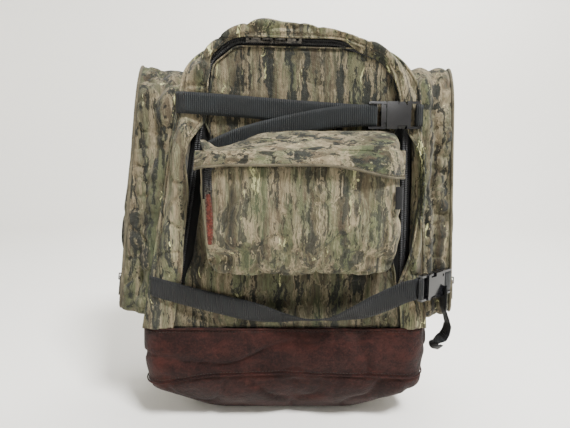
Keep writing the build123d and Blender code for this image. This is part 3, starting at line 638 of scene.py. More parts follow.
# The zip tape and coil are black cloth and plastic, and are set darker still as painted shade for the
# recesses beside the front pocket. The same tape binds the back and shoulder pads.
TAPE = plain_cloth("zip_tape", (7, 7, 7), wear=0.4)
TEETH = moulded("zip_coil", (15, 15, 16), 0.42)
# The welt's tan is partly the cloth's worn edge and partly a painted highlight: the flap's hem and the side
# pockets' piping read as lit edges.
WELT = plain_cloth("edge_welt", (76, 71, 57), wear=0.3)
LINING = plain_cloth("lining", (58, 56, 50))
THREAD = plain_cloth("thread", (70, 62, 50), wear=0.2)
THREAD_DARK = plain_cloth("thread_dark", (36, 30, 26))
LABEL = plain_cloth("label", (14, 14, 15), wear=0.3)
MESH = mesh_fabric("air_mesh", (34, 35, 36))
PLASTIC = moulded("buckle_plastic", (20, 20, 22), 0.14)
METAL = metal("slider_metal", (38, 37, 36))


# ---- shell --------------------------------------------------------------------------------------
MID = np.array([8.0, 315.0])  # the front view's middle, which every ring of cloth shrinks towards
OUTLINE_N = 420
OUTLINE = resample(rounded_line(SHELL_CORNERS, SHELL_RADII), OUTLINE_N)
OUTLINE += 4.5 * unit(MID - OUTLINE) * np.clip((OUTLINE[:, 1] - 430) / 70, 0, 1)[:, None]
OUTLINE_NORMAL = outer_normals(OUTLINE, MID)
ZIP_LINE = resample(rounded_line(ZIP_CORNERS, ZIP_RADII), OUTLINE_N)
ZIP_NORMAL = outer_normals(ZIP_LINE, MID)
ZIP_Z = ZIP_LINE[:, 1]
BACK_Y = HALF_DEPTH + 1.0
TAPE_EDGE = 8.6
PANEL_EDGE = (0.4 + (TAPE_EDGE - 0.4) * ease(ZIP_Z, ZIP_END_Z - 16, ZIP_END_Z + 2)
              - 3.6 * ease(ZIP_Z, 385, 400)
              + 1.6 * ease(ZIP_Z, 462, 484)
              - 9.0 * ease(ZIP_Z, 440, 462) * ease(ZIP_LINE[:, 0], 56, 92))

# The frame's rolled edge, which bulges out beside the zip and hides more or less of it (x at each z).
EDGE_Z = [138, 172, 193, 208, 230, 266, 313, 330, 354, 375, 401, 429, 452, 480]
EDGE_LEFT = [-145, -139, -134, -131, -127, -123, -116, -117, -120, -114, -96, -93, -90, -84]
EDGE_RIGHT = [150, 147, 142, 147, 152, 158, 165, 165, 163, 154, 141, 136, 128, 117]


def frame_edge():
    """The inner edge of the front frame, as front-view points matching ZIP_LINE."""
    x = np.where(ZIP_LINE[:, 0] < MID[0], np.interp(ZIP_Z, EDGE_Z, EDGE_LEFT),
                 np.interp(ZIP_Z, EDGE_Z, EDGE_RIGHT))
    over_zip = 3.0 + 0.6 * ease(ZIP_LINE[:, 0], 30, 85)
    arch = ZIP_LINE + ZIP_NORMAL * over_zip[:, None]
    k = ease(ZIP_Z, 455, 484)[:, None]
    return relax(np.stack([x, ZIP_Z], axis=1) * (1 - k) + arch * k, 5)


FRAME_EDGE = frame_edge()


def at_y(line, y):
    """Front-view points put at a depth, which may differ from point to point."""
    return np.stack([line[:, 0], np.broadcast_to(y, len(line)), line[:, 1]], axis=1)


def hood(z):
    """How far the shell's front seam leans back at a height: nothing at the sides, most at the top."""
    return 54.0 * ease(z, 446, 530)


def seam_y(z):
    return -HALF_DEPTH + 2.0 + hood(z)


def reveal(z):
    """How much more of the zip's tape shows beside the front pocket."""
    return 6.0 * ease(z, 205, 240) * (1 - ease(z, 380, 405))


def to_front(P):
    return FRONT


def to_back(P):
    return -FRONT


def build_shell():
    # Front frame: a stuffed strip from the side seam to the rolled edge over the zip, then back under.
    cols = 34
    v = np.linspace(0, 1, cols)
    z = OUTLINE[:, 1]
    proud = 13.0 * ease(ZIP_Z, 196, 250) * (1 - 0.75 * ease(ZIP_Z, 400, 470)) + 1.5
    flatten = 1 - 0.8 * np.exp(-((z - np.where(OUTLINE[:, 0] < 0, 416, 404)) / 30) ** 4)
    proud *= 1 - 0.95 * np.exp(-((ZIP_Z - np.where(ZIP_LINE[:, 0] < 0, 414, 404)) / 30) ** 4)

    def frame_row(t):
        reach = ease(t, 0, 0.55)
        y = (seam_y(z) * (1 - reach) + (-HALF_DEPTH - proud) * reach
             - 5.0 * flatten * math.sin(math.pi * t ** 0.9) ** 0.8)
        return at_y(OUTLINE * (1 - t) + FRAME_EDGE * t, y)

    strip = grid_of(frame_row, cols)
    n = grid_normals(strip, to_front)
    fold = (soft_noise(strip, 52, 1.0, (0.8, 1, 1.6)) * 3.0
            + soft_noise(strip, 20, 2.0, (1, 1, 1.5)) * 0.9)
    pinch = crease(strip, 42, 3.0, (1.0, 1.0, 0.7)) * 3.2
    edge = (ease(v, 0.0, 0.15) * (1 - ease(v, 0.9, 1.0)))[None, :]
    strip = push(strip, n, (fold - pinch) * edge * flatten[:, None])
    rows = []
    for k in (3, cols - 5):
        strip[:, k] += np.array([0, 0.9, 0])
        rows.append(stitches(strip[3:-3, k] + np.array([0, -1.0, 0]), FRONT, THREAD))
    tuck = ZIP_LINE + ZIP_NORMAL * PANEL_EDGE[:, None]

    def under_row(t):
        y = strip[:, -1, 1] * (1 - t) + (-HALF_DEPTH - 0.8) * t + 1.2 * math.sin(math.pi * t)
        return at_y(FRAME_EDGE * (1 - t) + tuck * t, y)

    skin = cloth_grid("skin", strip, CAMO_FRAME, to_front)
    lining = cloth_grid("lining", grid_of(under_row, 7), CAMO_FRAME, to_front, 0.8)
    place(join("cloth_front_frame", [skin, lining, *rows]), "root", "front_frame", slot="canvas")
    rolled = tube("edge_welt", strip[4:-4, -1] + np.array([0, -0.4, 0]), 1.25, CAMO_FRAME)
    place(rolled, "root", "opening_welt", slot="piping")

    # Gusset: runs back from the front seam, round the top, and swells between its seams.
    rows = 34

    def gusset_row(t):
        swell = (7.0 * math.sin(math.pi * t) ** 0.8 * (0.35 + 0.65 * ease(z, 150, 250))
                 * (1 - 0.85 * ease(z, 440, 500)))
        return at_y(OUTLINE + OUTLINE_NORMAL * swell[:, None], seam_y(z) * (1 - t) + BACK_Y * t)

    def outward(P):
        return np.stack([P[..., 0] - MID[0], 0 * P[..., 1], P[..., 2] - MID[1]], axis=-1)

    band = grid_of(gusset_row, rows)
    edge = np.sin(math.pi * np.linspace(0, 1, rows))[None, :] ** 0.5
    wrinkle = (soft_noise(band, 60, 4.0) * 3.0 + soft_noise(band, 24, 5.0) * 1.0
               - crease(band, 52, 6.0) * 3.0)
    band = push(band, grid_normals(band, outward), wrinkle * edge)
    place(cloth_grid("cloth_gusset", band, CAMO_GUSSET, outward), "root", "gusset_band", slot="canvas")

    # Seam piping where the frame meets the gusset, and where the gusset meets the back.
    cords = [tube("cord", resample(at_y(OUTLINE + OUTLINE_NORMAL, y), 300), 1.9, CAMO_FRAME)
             for y in (seam_y(z) - 0.6, BACK_Y)]
    seams = join("seam_cords", cords)
    place(seams, "root", slot="canvas")

    # Back panel, flat with a slight fullness.
    def back_row(t):
        return at_y(OUTLINE * (1 - t) + MID * t, BACK_Y + 3.0 * math.sin(math.pi * min(t, 0.5)))

    back = grid_of(back_row, 26, 0.97)
    back += np.array([0, 1.0, 0]) * (soft_noise(back, 60, 8.0) * 1.5)[..., None]
    place(cloth_grid("cloth_back", back, CAMO_GUSSET, to_back), "root", "back_panel", slot="canvas")
    hem = np.stack([at_y(np.stack([np.linspace(-176, 174, 60), np.full(60, level)], axis=1), BACK_Y)
                    for level in np.linspace(136, 200, 12)], axis=1)
    place(cloth_grid("cloth_back_hem", hem, CAMO_GUSSET, to_back), "root", slot="canvas")


def panel_depth(x, z):
    """Depth of the front panel's outer face away from its edge."""
    r = np.hypot((x - MID[0]) / 130, (z - MID[1]) / 175)
    return -HALF_DEPTH - 3.2 * np.clip(1 - r ** 2, 0, 1)


def build_front_panel():
    inner = ZIP_LINE - ZIP_NORMAL * (PANEL_EDGE + reveal(ZIP_Z))[:, None]
    ring = resample(inner[inner[:, 1] > LEATHER_TOP - 6], 360)
    foot = np.stack([np.linspace(ring[-1, 0], ring[0, 0], 60), np.full(60, ring[0, 1])], axis=1)[1:-1]
    ring = np.concatenate([ring, foot])

    def panel_row(t):
        line = ring * (1 - t) + MID * t
        return at_y(line, panel_depth(line[:, 0], line[:, 1]) + 1.6 * (1 - ease(t, 0, 0.05)))

    rings = 60
    P = grid_of(panel_row, rings, 0.985)
    edge = ease(np.linspace(0, 1, rings), 0.0, 0.10)[None, :]
    under_strap = 1 - 0.75 * ease(P[..., 2], 385, 400) * (1 - ease(P[..., 2], 425, 440))
    below = 1 - ease(P[..., 2], 215, 235)
    wrinkle = (soft_noise(P, 62, 11.0, (1, 1, 1.3)) * 1.9 + soft_noise(P, 25, 12.0, (1.4, 1, 1)) * 0.8
               - crease(P, 58, 13.0, (1.7, 1, 0.8)) * (1.6 + 2.6 * below)
               + soft_noise(P, 46, 14.0, (1.8, 1, 0.8)) * 4.4 * below)
    P[..., 1] -= wrinkle * edge * under_strap
    panel = cloth_grid("cloth_front_panel", P, CAMO, to_front, closed_u=True)
    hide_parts("front_panel_lower", "front_panel_upper")
    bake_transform(panel)


def build_main_zip():
    shown = ZIP_Z > ZIP_END_Z - 3
    whole, normal, edge = ZIP_LINE[shown], ZIP_NORMAL[shown], PANEL_EDGE[shown]

    def tape(lo, hi):
        rows = [at_y(whole + normal * d, -HALF_DEPTH + 0.5 + 3.5 * ease(abs(d), 4.2, 8))
                for d in np.linspace(lo, hi, 9)]
        return cloth_grid("tape", np.stack(rows, axis=1), TAPE, to_front, 0.7)

    outer = join("zip_main_outer", [tape(0.2, 12.5), zip_teeth(at_y(whole, -HALF_DEPTH), FRONT, 1)])
    place(outer, "root", "main_zip_outer", slot="zip")
    teeth = [zip_teeth(at_y(run, -HALF_DEPTH), FRONT, -1, shift=0.5) for run in split_at_sliders(whole)]
    inner = join("zip_main_inner", [tape(-19.0, -0.2), *teeth])
    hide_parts("main_zip_lower", "main_zip_upper")
    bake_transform(inner)

    hem_line = whole - normal * (edge + 0.6 + reveal(whole[:, 1]))[:, None]
    hem = tube("panel_edge", at_y(hem_line, -HALF_DEPTH - 0.4), 1.1, CAMO)
    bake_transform(hem)


def split_at_sliders(line):
    """The zip line without the stretch at the top where the two sliders sit."""
    lo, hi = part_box("main_slider_left")[0].x / MM - 1.5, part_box("main_slider_right")[1].x / MM + 1.5
    inside = (line[:, 1] > 470) & (line[:, 0] > lo) & (line[:, 0] < hi)
    first, last = np.flatnonzero(inside)[[0, -1]]
    return [line[:first], line[last + 1:]]


# ---- leather ------------------------------------------------------------------------------------
def rect_ring(half_x, half_y, radius, n=260):
    """A rounded rectangle in plan, starting at the middle of the back."""
    c = [(0, half_y), (-half_x, half_y), (-half_x, -half_y), (half_x, -half_y), (half_x, half_y)]
    return resample(rounded_line(c, [0, radius, radius, radius, radius], closed=True), n + 1)[:-1]


def seam_drop(x):
    """The seam between band and base sags towards the left end and a little at the right."""
    return -13.0 * ease(-x, 90, 185) - 3.0 * ease(x, 100, 180) + 3.0 * (1 - ease(np.abs(x), 0, 120))


def spread(x):
    """The leather stands out a little beyond the canvas at the left and right ends."""
    return x - 5.0 * ease(-x, 120, 184) + 2.5 * ease(x, 120, 184)


def leather_grid(levels, sag):
    """Rings of leather through (z, half width, half depth, corner radius), and the rows' heights."""
    keys = np.array(levels, float)
    at = np.linspace(0, len(levels) - 1, 3 * len(levels))
    rows = np.stack([np.interp(at, np.arange(len(levels)), keys[:, k]) for k in range(4)], axis=1)
    rings = []
    for z, half_x, half_y, radius in rows:
        ring = rect_ring(half_x, half_y, radius)
        rings.append(np.stack([*ring.T, z + seam_drop(ring[:, 0]) * sag(z)], axis=1))
    return np.stack(rings, axis=1), rows[:, 0]


BAND_LEVELS = [(138.5, 183.6, 91.5, 30), (134, 185.0, 93.0, 30), (126, 185.6, 94.2, 30),
               (112, 185.5, 95.0, 31), (98, 185.0, 94.6, 32), (86, 184.0, 93.4, 32),
               (78, 183.4, 92.6, 32), (72.5, 182.6, 91.6, 32)]
BASE_LEVELS = [(74, 181.4, 90.2, 32), (66, 182.6, 91.2, 33), (56, 181.0, 89.5, 35),
               (46, 176.0, 85.5, 38), (36, 168.0, 79.5, 42), (26, 157.0, 71.5, 46),
               (17, 145.0, 63.5, 46), (9, 133.0, 56.0, 44), (3.0, 121.0, 48.0, 40),
               (0.6, 110.0, 41.0, 34), (0.6, 90.0, 32.0, 26), (0.9, 50.0, 16.0, 14),
               (0.9, 6.0, 3.0, 2.5)]


def build_leather():
    def outward(P):
        return np.stack([P[..., 0], P[..., 1] * 2, 0 * P[..., 2]], axis=-1)

    P, level = leather_grid(BAND_LEVELS, lambda z: np.clip((138 - z) / 66, 0, 1))
    n = grid_normals(P, outward)
    mid = np.sin(np.linspace(0, math.pi, len(level)))[None, :] ** 0.6
    shape = (soft_noise(P, 70, 21.0) * 3.6 + soft_noise(P, 30, 22.0) * 1.4
             - crease(P, 58, 23.0, (1.3, 1, 0.8)) * 5.0)
    P = push(P, n, shape * mid)
    P[..., 0] = spread(P[..., 0])
    # Threads lie on the band under its top edge and over its lower seam.
    sewn = [int(np.argmin(np.abs(level - z))) for z in (134.5, 78.0)]
    threads = [stitches(P[:, k] + n[:, k] * 0.4, Z_UP, THREAD_DARK) for k in sewn]
    band = cloth_grid("leather_band_skin", P, SUEDE, outward, 2.4, closed_u=True)
    place(band, "root", "leather_band", slot="leather")

    def down_and_out(P):
        return np.stack([P[..., 0], P[..., 1] * 2, P[..., 2] - 60], axis=-1)

    P, level = leather_grid(BASE_LEVELS, lambda z: np.clip((z - 30) / 44, 0, 1))
    n = grid_normals(P, down_and_out)
    free = ease(P[..., 2], 3, 16)
    shape = soft_noise(P, 80, 25.0) * 3.4 + soft_noise(P, 32, 26.0) * 1.0 - crease(P, 62, 27.0) * 3.2
    P = push(P, n, shape * free * ease(74 - P[..., 2], 0, 10))
    P[..., 2] = np.maximum(P[..., 2], 0.3)
    P[..., 0] = spread(P[..., 0])
    base = cloth_grid("leather_base_skin", P, SUEDE_LOW, down_and_out, 2.4, closed_u=True)
    place(base, "root", "leather_base", slot="leather")
    place(join("leather_thread", threads), "root", slot="leather")

    # The cut edges at the band's lower seam and at its top.
    ring = rect_ring(184.6, 93.6, 32)
    lip = np.stack([spread(ring[:, 0]) * 0.995, ring[:, 1] * 0.992,
                    73.2 + seam_drop(ring[:, 0]) * 0.985], axis=1)
    place(tube("leather_seam_edge", lip, 1.0, SUEDE, closed=True), "root", slot="leather")
    top = rect_ring(184.4, 92.4, 30)
    edge = np.stack([spread(top[:, 0]), top[:, 1], np.full(len(top), 137.6)], axis=1)
    place(tube("leather_top_edge", edge, 1.5, SUEDE, closed=True), "root", slot="leather")


# ---- side pockets -------------------------------------------------------------------------------
class Side:
    """One side pocket. The gusset plane has a running to the front or back, b up and w outward; the
    outer face has a plane of its own, turned to the front and splayed at the top."""

    def __init__(self, name, foot, top, front, splay):
        self.name, self.front = name, front
        self.a = np.array([0.0, -front, 0.0])
        self.b = unit([top[0] - foot[0], 0, top[1] - foot[1]])
        self.w = np.cross(self.a, self.b)
        self.origin = np.array([foot[0], 0.0, foot[1]])
        yaw, lean = math.radians(POCKET_YAW), math.radians(splay)
        out = self.w * math.cos(lean) - self.b * math.sin(lean)
        self.fa = self.a * math.cos(yaw) - out * (front * math.sin(yaw))
        self.fw = out * math.cos(yaw) + self.a * (front * math.sin(yaw))
        self.fb = np.cross(self.fw, self.fa)
        self.centre = self.origin + self.w * POCKET_OUT

    def at(self, a, b, w):
        a, b, w = (np.asarray(q, float)[..., None] for q in (a, b, w))
        return self.origin + a * self.a + b * self.b + w * self.w

    def face(self, a, b, w=0.0):
        """A point in the outer face's own axes."""
        a, b, w = (np.asarray(q, float)[..., None] for q in (a, b, w))
        return self.centre + a * self.fa + b * self.fb + w * self.fw

    def outline(self, grow=0.0, slant=1.0, reach=0.0, n=320):
        f = self.front
        ahead, behind = f * (POCKET_FRONT * slant + reach), f * POCKET_BACK * slant
        corners = [(behind, POCKET_LOW), (behind, POCKET_HIGH - 6),
                   (ahead, POCKET_HIGH), (ahead, POCKET_LOW)]
        line = resample(rounded_line(corners, [20, 55, 60, 20], closed=True), n + 1)
        return line[:-1] + outer_normals(line[:-1], [f * 4.0, 170.0], closed=True) * grow


SIDES = [Side("left", SHELL_CORNERS[0], SHELL_CORNERS[1], 1, 3.5),
         Side("right", SHELL_CORNERS[-1], SHELL_CORNERS[-2], -1, 1.5)]


def build_side_pocket(side, seed):
    mid = np.array([side.front * 4.0, 172.0])

    def away(P):
        return P - side.at(mid[0], mid[1], 0)

    def outward(P):
        return np.broadcast_to(side.fw, P.shape)

    # Wall: from the body's seam out to the piped edge, gathered into long folds.
    rows = 48
    foot = side.outline(-2.0, reach=9.0)
    foot = side.at(foot[:, 0], foot[:, 1], -6.0)
    rim = side.outline(0.6, SLANT)
    rim = side.face(rim[:, 0], rim[:, 1], -1.6)
    t = np.linspace(0, 1, rows)[None, :, None]
    P = foot[:, None] * (1 - t) + rim[:, None] * t
    t = t[..., 0]
    n = grid_normals(P, away)
    P = push(P, n, 6.0 * np.sin(math.pi * t) ** 0.8)
    n = grid_normals(P, away)
    edge = t ** 0.5 * (1 - ease(t, 0.90, 1.0))
    facing = np.clip(-n[..., 1], 0, 1)
    drift = soft_noise(P * np.array([0, 0, 1.0]), 70, seed + 8) * 0.13
    valley = np.exp(-((t - 0.55 - drift) / 0.13) ** 2) * (0.55 + 0.45 * soft_noise(P, 60, seed + 9))
    second = (np.exp(-((t - 0.22 + drift) / 0.08) ** 2)
              * np.clip(soft_noise(P, 80, seed + 10) + 0.3, 0, 1))
    pinch = crease(P, 34, seed, (1.6, 1.6, 0.8)) * 4.5 + crease(P, 60, seed + 1, (1.2, 1, 1.0)) * 5.0
    wave = soft_noise(P, 46, seed + 2, (1.2, 1.2, 0.9)) * 5.0 + soft_noise(P, 18, seed + 3) * 1.2
    P = push(P, n, (wave - pinch) * edge - (18.0 * valley + 10.0 * second) * facing * edge)
    place(cloth_grid(f"cloth_{side.name}_pocket_wall", P, CAMO_SIDE, away, closed_u=True), "root",
          f"{side.name}_pocket_wall", slot="canvas")

    # Face between the piping and the zip, then the door inside the zip.
    def swell(a, b):
        flat = np.clip(1 - ((a - mid[0]) / 84) ** 2, 0, 1) * np.clip(1 - ((b - mid[1]) / 170) ** 4, 0, 1)
        return 8.0 * flat

    def face_row(t):
        ring = side.outline(0.5 - (ZIP_INSET - 5.6) * t, SLANT)
        proud = -0.6 - 1.2 * ease(t, 0.8, 1) + 1.6 * math.sin(math.pi * t)
        return side.face(ring[:, 0], ring[:, 1], proud)

    P = grid_of(face_row, 12)
    P = push(P, side.fw, soft_noise(P, 35, seed + 5) * 0.7)
    face = cloth_grid(f"cloth_{side.name}_pocket_face", P, CAMO_SIDE, outward, closed_u=True)
    foot_b = np.linspace(POCKET_LOW + 9, DOOR_UP - 13, 14)
    foot_a = np.linspace(-POCKET_FRONT * 0.80, POCKET_FRONT * 0.90, 40) * side.front
    A, B = np.meshgrid(foot_a, foot_b, indexing="ij")
    foot = cloth_grid("foot", side.face(A, B, -1.0 + swell(A, B) * 0.3), CAMO_SIDE, outward)
    place(join(f"cloth_{side.name}_pocket_front", [face, foot]), "root",
          f"{side.name}_pocket_face", slot="canvas")

    ring = side.outline(-(ZIP_INSET + 5.4), SLANT)
    ring[:, 1] = np.maximum(ring[:, 1], DOOR_UP - 16)
    middle = np.array([mid[0], DOOR_UP + 118])

    def door_row(t):
        a, b = (ring * (1 - t) + middle * t).T
        return side.face(a, b, -1.0 + swell(a, b) * ease(t, 0, 0.45))

    rows = 34
    P = grid_of(door_row, rows, 0.985)
    fold = soft_noise(P, 60, seed + 6, (1, 1, 1.5)) * 2.6 - crease(P, 60, seed + 7, (1, 1, 1.4)) * 2.6
    P = push(P, side.fw, fold * ease(np.linspace(0, 1, rows), 0, 0.25)[None, :])
    door = cloth_grid(f"cloth_{side.name}_pocket_door", P, CAMO_SIDE, outward, closed_u=True)
    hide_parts(f"{side.name}_pocket_door")
    hinge = [side.face(0, DOOR_UP + d) * MM for d in (-5, 3)]
    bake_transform(door)

    # Zip: the outer half stays on the body; the inner half, the door's, is built here and put on no body.
    run = side.outline(-ZIP_INSET, SLANT)
    run = np.roll(run, -int(np.argmin(run[:, 1])), axis=0)
    run = run[run[:, 1] > DOOR_UP - 15]
    start = int(np.argmax(np.linalg.norm(np.diff(run, axis=0), axis=1)))
    if np.linalg.norm(run[start + 1] - run[start]) > 20:
        run = np.concatenate([run[start + 1:], run[:start + 1]])
    run = resample(run, 260)
    normal = outer_normals(run, mid)
    line = side.face(run[:, 0], run[:, 1], -1.0)

    def half(name, lo, hi, way, shift=0.0):
        rows = [side.face(*(run + normal * d).T, -1.4) for d in np.linspace(lo, hi, 4)]
        tape = cloth_grid("tape", np.stack(rows, axis=1), TAPE, outward, 0.7)
        return join(name, [tape, zip_teeth(line, side.fw, way, shift)])

    t = unit(np.gradient(line, axis=0))
    out3 = unit(side.face(*(run + normal).T, -1.0) - line)
    sign = 1 if (np.cross(t, side.fw) * out3).sum() > 0 else -1
    outer = half(f"zip_{side.name}_pocket", 0.2, 8.0, sign)
    place(outer, "root", f"{side.name}_pocket_zip", slot="zip")
    inner = half(f"zip_{side.name}_door", -8.0, -0.2, -sign, 0.5)
    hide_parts(f"{side.name}_door_zip")
    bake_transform(inner)

    ring = side.outline(1.4, SLANT)
    return tube("piping", side.face(ring[:, 0], ring[:, 1], -0.4), 1.9, WELT, closed=True)


# ---- front pocket -------------------------------------------------------------------------------
EAR_X = -95.0  # the pocket top's left corner stands up in a small open fold here
FP_MID = (FP_LEFT + FP_RIGHT) / 2
FP_BACK = -88.0


def fullness(x, half_width, power):
    """1 in the pocket's middle, falling to 0 at its sides."""
    return 1 - np.clip(np.abs(x - FP_MID) / half_width, 0, 1) ** power


def belly(z):
    """0 at the pocket's foot and at its zip, 1 halfway up."""
    return np.sin(np.clip((z - FP_LOW) / (FP_ZIP_Z - FP_LOW), 0, 1) * math.pi) ** 0.7


def pocket_section(z, shrink=0.0):
    """The front pocket's wall at a height, from the left side's back round the front to the right's."""
    flare = 5.0 * float(ease(z, 240, 285))
    left, right = FP_LEFT + 2 - flare + shrink, FP_RIGHT - 2 + 0.8 * flare - shrink
    face = FP_FACE + shrink * 0.9
    r = 12.0 + 12.0 * float(ease(z, 240, 300))
    c = [(left, -84.0), (left, face), (right, face), (right, -84.0)]
    return resample(rounded_line(c, [0, r, r, 0]), 240)


def build_front_pocket():
    # Body: sides, front and a bottom that curls under.
    curl = 17
    levels = [(z, 0.0) for z in np.linspace(FP_ZIP_Z + 12, FP_LOW + 16, 60)]
    levels += [(FP_LOW - 2 + curl * (1 - math.sin(turn)), curl * (1 - math.cos(turn)))
               for turn in np.linspace(0, 1, 16) * math.pi / 2]
    P = np.stack([np.insert(pocket_section(z, shrink), 2, z, axis=1) for z, shrink in levels], axis=1)
    across = fullness(P[..., 0], 122, 3)
    front_most = ease(-P[..., 1], 120, 140)
    P[..., 1] -= 7.0 * across * belly(P[..., 2]) * front_most

    def out_of_pocket(Q):
        return np.stack([(Q[..., 0] - FP_MID) * 0.6, Q[..., 1] + 95, (Q[..., 2] - 300) * 0.3], axis=-1)

    n = grid_normals(P, out_of_pocket)
    free = ease(-P[..., 1], 88, 100) * (1 - ease(P[..., 2], FP_ZIP_Z - 9, FP_ZIP_Z))
    by_zip = (ease(P[..., 0], FP_ZIP_X - 14, FP_ZIP_X - 4)
              * (1 - ease(P[..., 0], FP_ZIP_X + 6, FP_ZIP_X + 14)))
    calm = 1 - 0.9 * by_zip * ease(P[..., 2], 250, 262)
    shape = (soft_noise(P, 58, 31.0, (1.2, 1, 1)) * 3.2 + soft_noise(P, 24, 32.0) * 1.3
             - crease(P, 60, 33.0, (0.8, 1, 1.3)) * 3.4)
    P = push(P, n, shape * free * calm)
    # The foot sags, and each lower corner folds in on itself along a slanting line.
    P[..., 2] -= 3.0 * across * (1 - ease(P[..., 2], FP_LOW, FP_LOW + 30))
    for corner_x, way in ((FP_LEFT + 4, 1), (FP_RIGHT - 4, -1)):
        inward, up = (P[..., 0] - corner_x) * way, P[..., 2] - (FP_LOW + 4)
        off = up - 6 - 0.30 * inward
        P[..., 1] += 8.0 * (np.exp(-(off / 10.0) ** 2) * (1 - ease(inward, 10, 62)) * front_most)
    P[..., 1] += 10.0 * (1 - ease(P[..., 2], FP_LOW - 4, FP_LOW + 56)) ** 1.5 * front_most
    # A slack fold runs down beside the zip.
    lean = P[..., 0] - (FP_ZIP_X + 17) - 0.18 * (P[..., 2] - 290)
    P[..., 1] += (5.0 * np.exp(-(lean / 5.0) ** 2) * ease(P[..., 2], 262, 290)
                  * (1 - ease(P[..., 2], 325, 345)) * front_most)
    body = cloth_grid("cloth_front_pocket", P, CAMO_POCKET, out_of_pocket)
    centre = np.array([FP_MID, FP_BACK, FP_LOW + 2])
    F = grid_of(lambda t: P[:, -1] * (1 - t) + centre * t, 8, 0.95)
    under = cloth_grid("under", F, CAMO_POCKET, lambda Q: -Z_UP)
    place(join("cloth_front_pocket", [body, under]), "root", "front_pocket_tub", slot="canvas")

    # Top: slopes back to the panel from the flap's seam, lower at its left corner.
    sec = pocket_section(FP_ZIP_Z)
    ahead = -sec[:, 1] + FP_BACK
    seam_z = FLAP_HINGE_Z + 1.0
    back_z = 366 + 22 * ease(sec[:, 0], -100, -15)

    def top_row(t):
        y = FP_BACK - (ahead + 6.5 * ease(ahead, 20, 50)) * (1 - 0.95 * t ** 1.3)
        z = seam_z + (back_z - FLAP_HINGE_Z - 1.0) * (1 - (1 - t) ** 1.6)
        return np.stack([sec[:, 0] + (FP_MID - sec[:, 0]) * 0.03 * t, y, z], axis=1)

    def up_and_out(Q):
        return np.stack([(Q[..., 0] - FP_MID) * 0.2, Q[..., 1] + 85, 30 + 0 * Q[..., 2]], axis=-1)

    rows = 26
    P = grid_of(top_row, rows)
    n = grid_normals(P, up_and_out)
    ear = (np.exp(-((P[..., 0] - EAR_X - 0.25 * (P[..., 1] + 130)) / 8.5) ** 2)
           * np.exp(-((P[..., 1] + 124) / 15) ** 4))
    P[..., 2] += 13.0 * ear
    wave = soft_noise(P, 44, 35.0, (1.6, 1, 0.8)) * 3.0 - crease(P, 40, 36.0, (2.0, 1, 0.7)) * 3.2
    P = push(P, n, wave * np.sin(np.linspace(0, math.pi, rows))[None, :] ** 0.7)
    place(cloth_grid("cloth_pocket_top", P, CAMO_FLAP, up_and_out), "root",
          "front_pocket_top", slot="canvas")

    # Flap: hangs from its seam over the zip, its lower edge curved, its left corner jutting out.
    xs = np.linspace(FP_LEFT - 7, FP_RIGHT + 5, 180)
    low = (346.5 + 2.0 * ease(xs, -94, -60) - 15.0 * ease(xs, 30, 135) ** 1.3
           - 3.0 * (1 - ease(xs, -104, -88)))
    wrap = 16.0 * (ease(np.abs(xs - FP_MID), 92, 119)) ** 1.4
    jut = 9.0 * (1 - ease(xs, -104, -78))

    def flap_row(t):
        y = (FP_FACE - 6.4 - 2.6 * math.sin(math.pi * t * 0.8) - 6.0 * fullness(xs, 118, 2.2) * t
             + wrap - jut * t)
        return np.stack([xs, y, (FLAP_HINGE_Z + 1.6) * (1 - t) + low * t], axis=1)

    rows = 22
    P = grid_of(flap_row, rows)
    wave = soft_noise(P, 40, 37.0, (1.8, 1, 0.8)) * 2.2 - crease(P, 44, 38.0, (2.2, 1, 0.6)) * 1.8
    P[..., 1] -= wave * np.linspace(0.1, 1, rows)[None, :] * 0.9
    flap = cloth_grid("cloth_flap", P, CAMO_FLAP, to_front, 2.2)
    hem = tube("hem", P[:, -1] + np.array([0, -0.2, 0.4]), 1.5, WELT)
    thread = stitches(P[:, -3] + np.array([0, -0.6, 0]), FRONT, THREAD)
    flap = join("cloth_flap", [flap, hem, thread])
    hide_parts("front_pocket_flap")
    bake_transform(flap)

    # Zip: along under the flap and down the left edge.
    run = rounded_line([(FP_RIGHT - 12, FP_ZIP_Z), (FP_ZIP_X, FP_ZIP_Z), (FP_ZIP_X, 311)], [0, 11, 0])
    run = resample(run, 120)
    y = FP_FACE + 0.8 - 7.0 * fullness(run[:, 0], 122, 3) * belly(run[:, 1]) * 0.6
    normal = side_normals(run)
    tape = np.stack([at_y(run + normal * d, y - 0.1) for d in np.linspace(-7, 7, 7)], axis=1)
    line = at_y(run, y) + np.array([0, -0.8, 0])
    chain = [cloth_grid("tape", tape, TAPE, to_front, 0.7), zip_teeth(line, FRONT, 1),
             zip_teeth(line, FRONT, -1, 0.5)]
    place(join("zip_front_pocket", chain), "root", "front_pocket_zip", slot="zip")

    # Leather pull on the slider's metal one.
    lo, hi = (np.array(c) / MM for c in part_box("leather_pull"))
    n = 40
    zz = np.linspace(hi[2] + 3.0, lo[2] + 4.0, n)
    width = 8.0 * np.sin((np.linspace(0, 1, n) * 0.94 + 0.03) * math.pi) ** 0.28
    cx = (lo[0] + hi[0]) / 2 + 1.2 * np.sin(np.linspace(0, 2.4, n))
    cy = (lo[1] + hi[1]) / 2 - 1.3
    P = np.stack([np.stack([cx + w * width / 2, cy + 0.9 * w * w + 0 * zz, zz], axis=1)
                  for w in np.linspace(-1, 1, 9)], axis=1)
    pull = cloth_grid("pull_strip", P, PULL_LEATHER, to_front, 2.2)
    sides = [stitches(P[3:-3, k] + np.array([0, -0.3, 0]), FRONT, THREAD, 3.4, 2.1, 0.36)
             for k in (1, 7)]
    place(join("leather_zip_pull", [pull, *sides]), "front_pocket_pull",
          "leather_pull", slot="pull_leather")

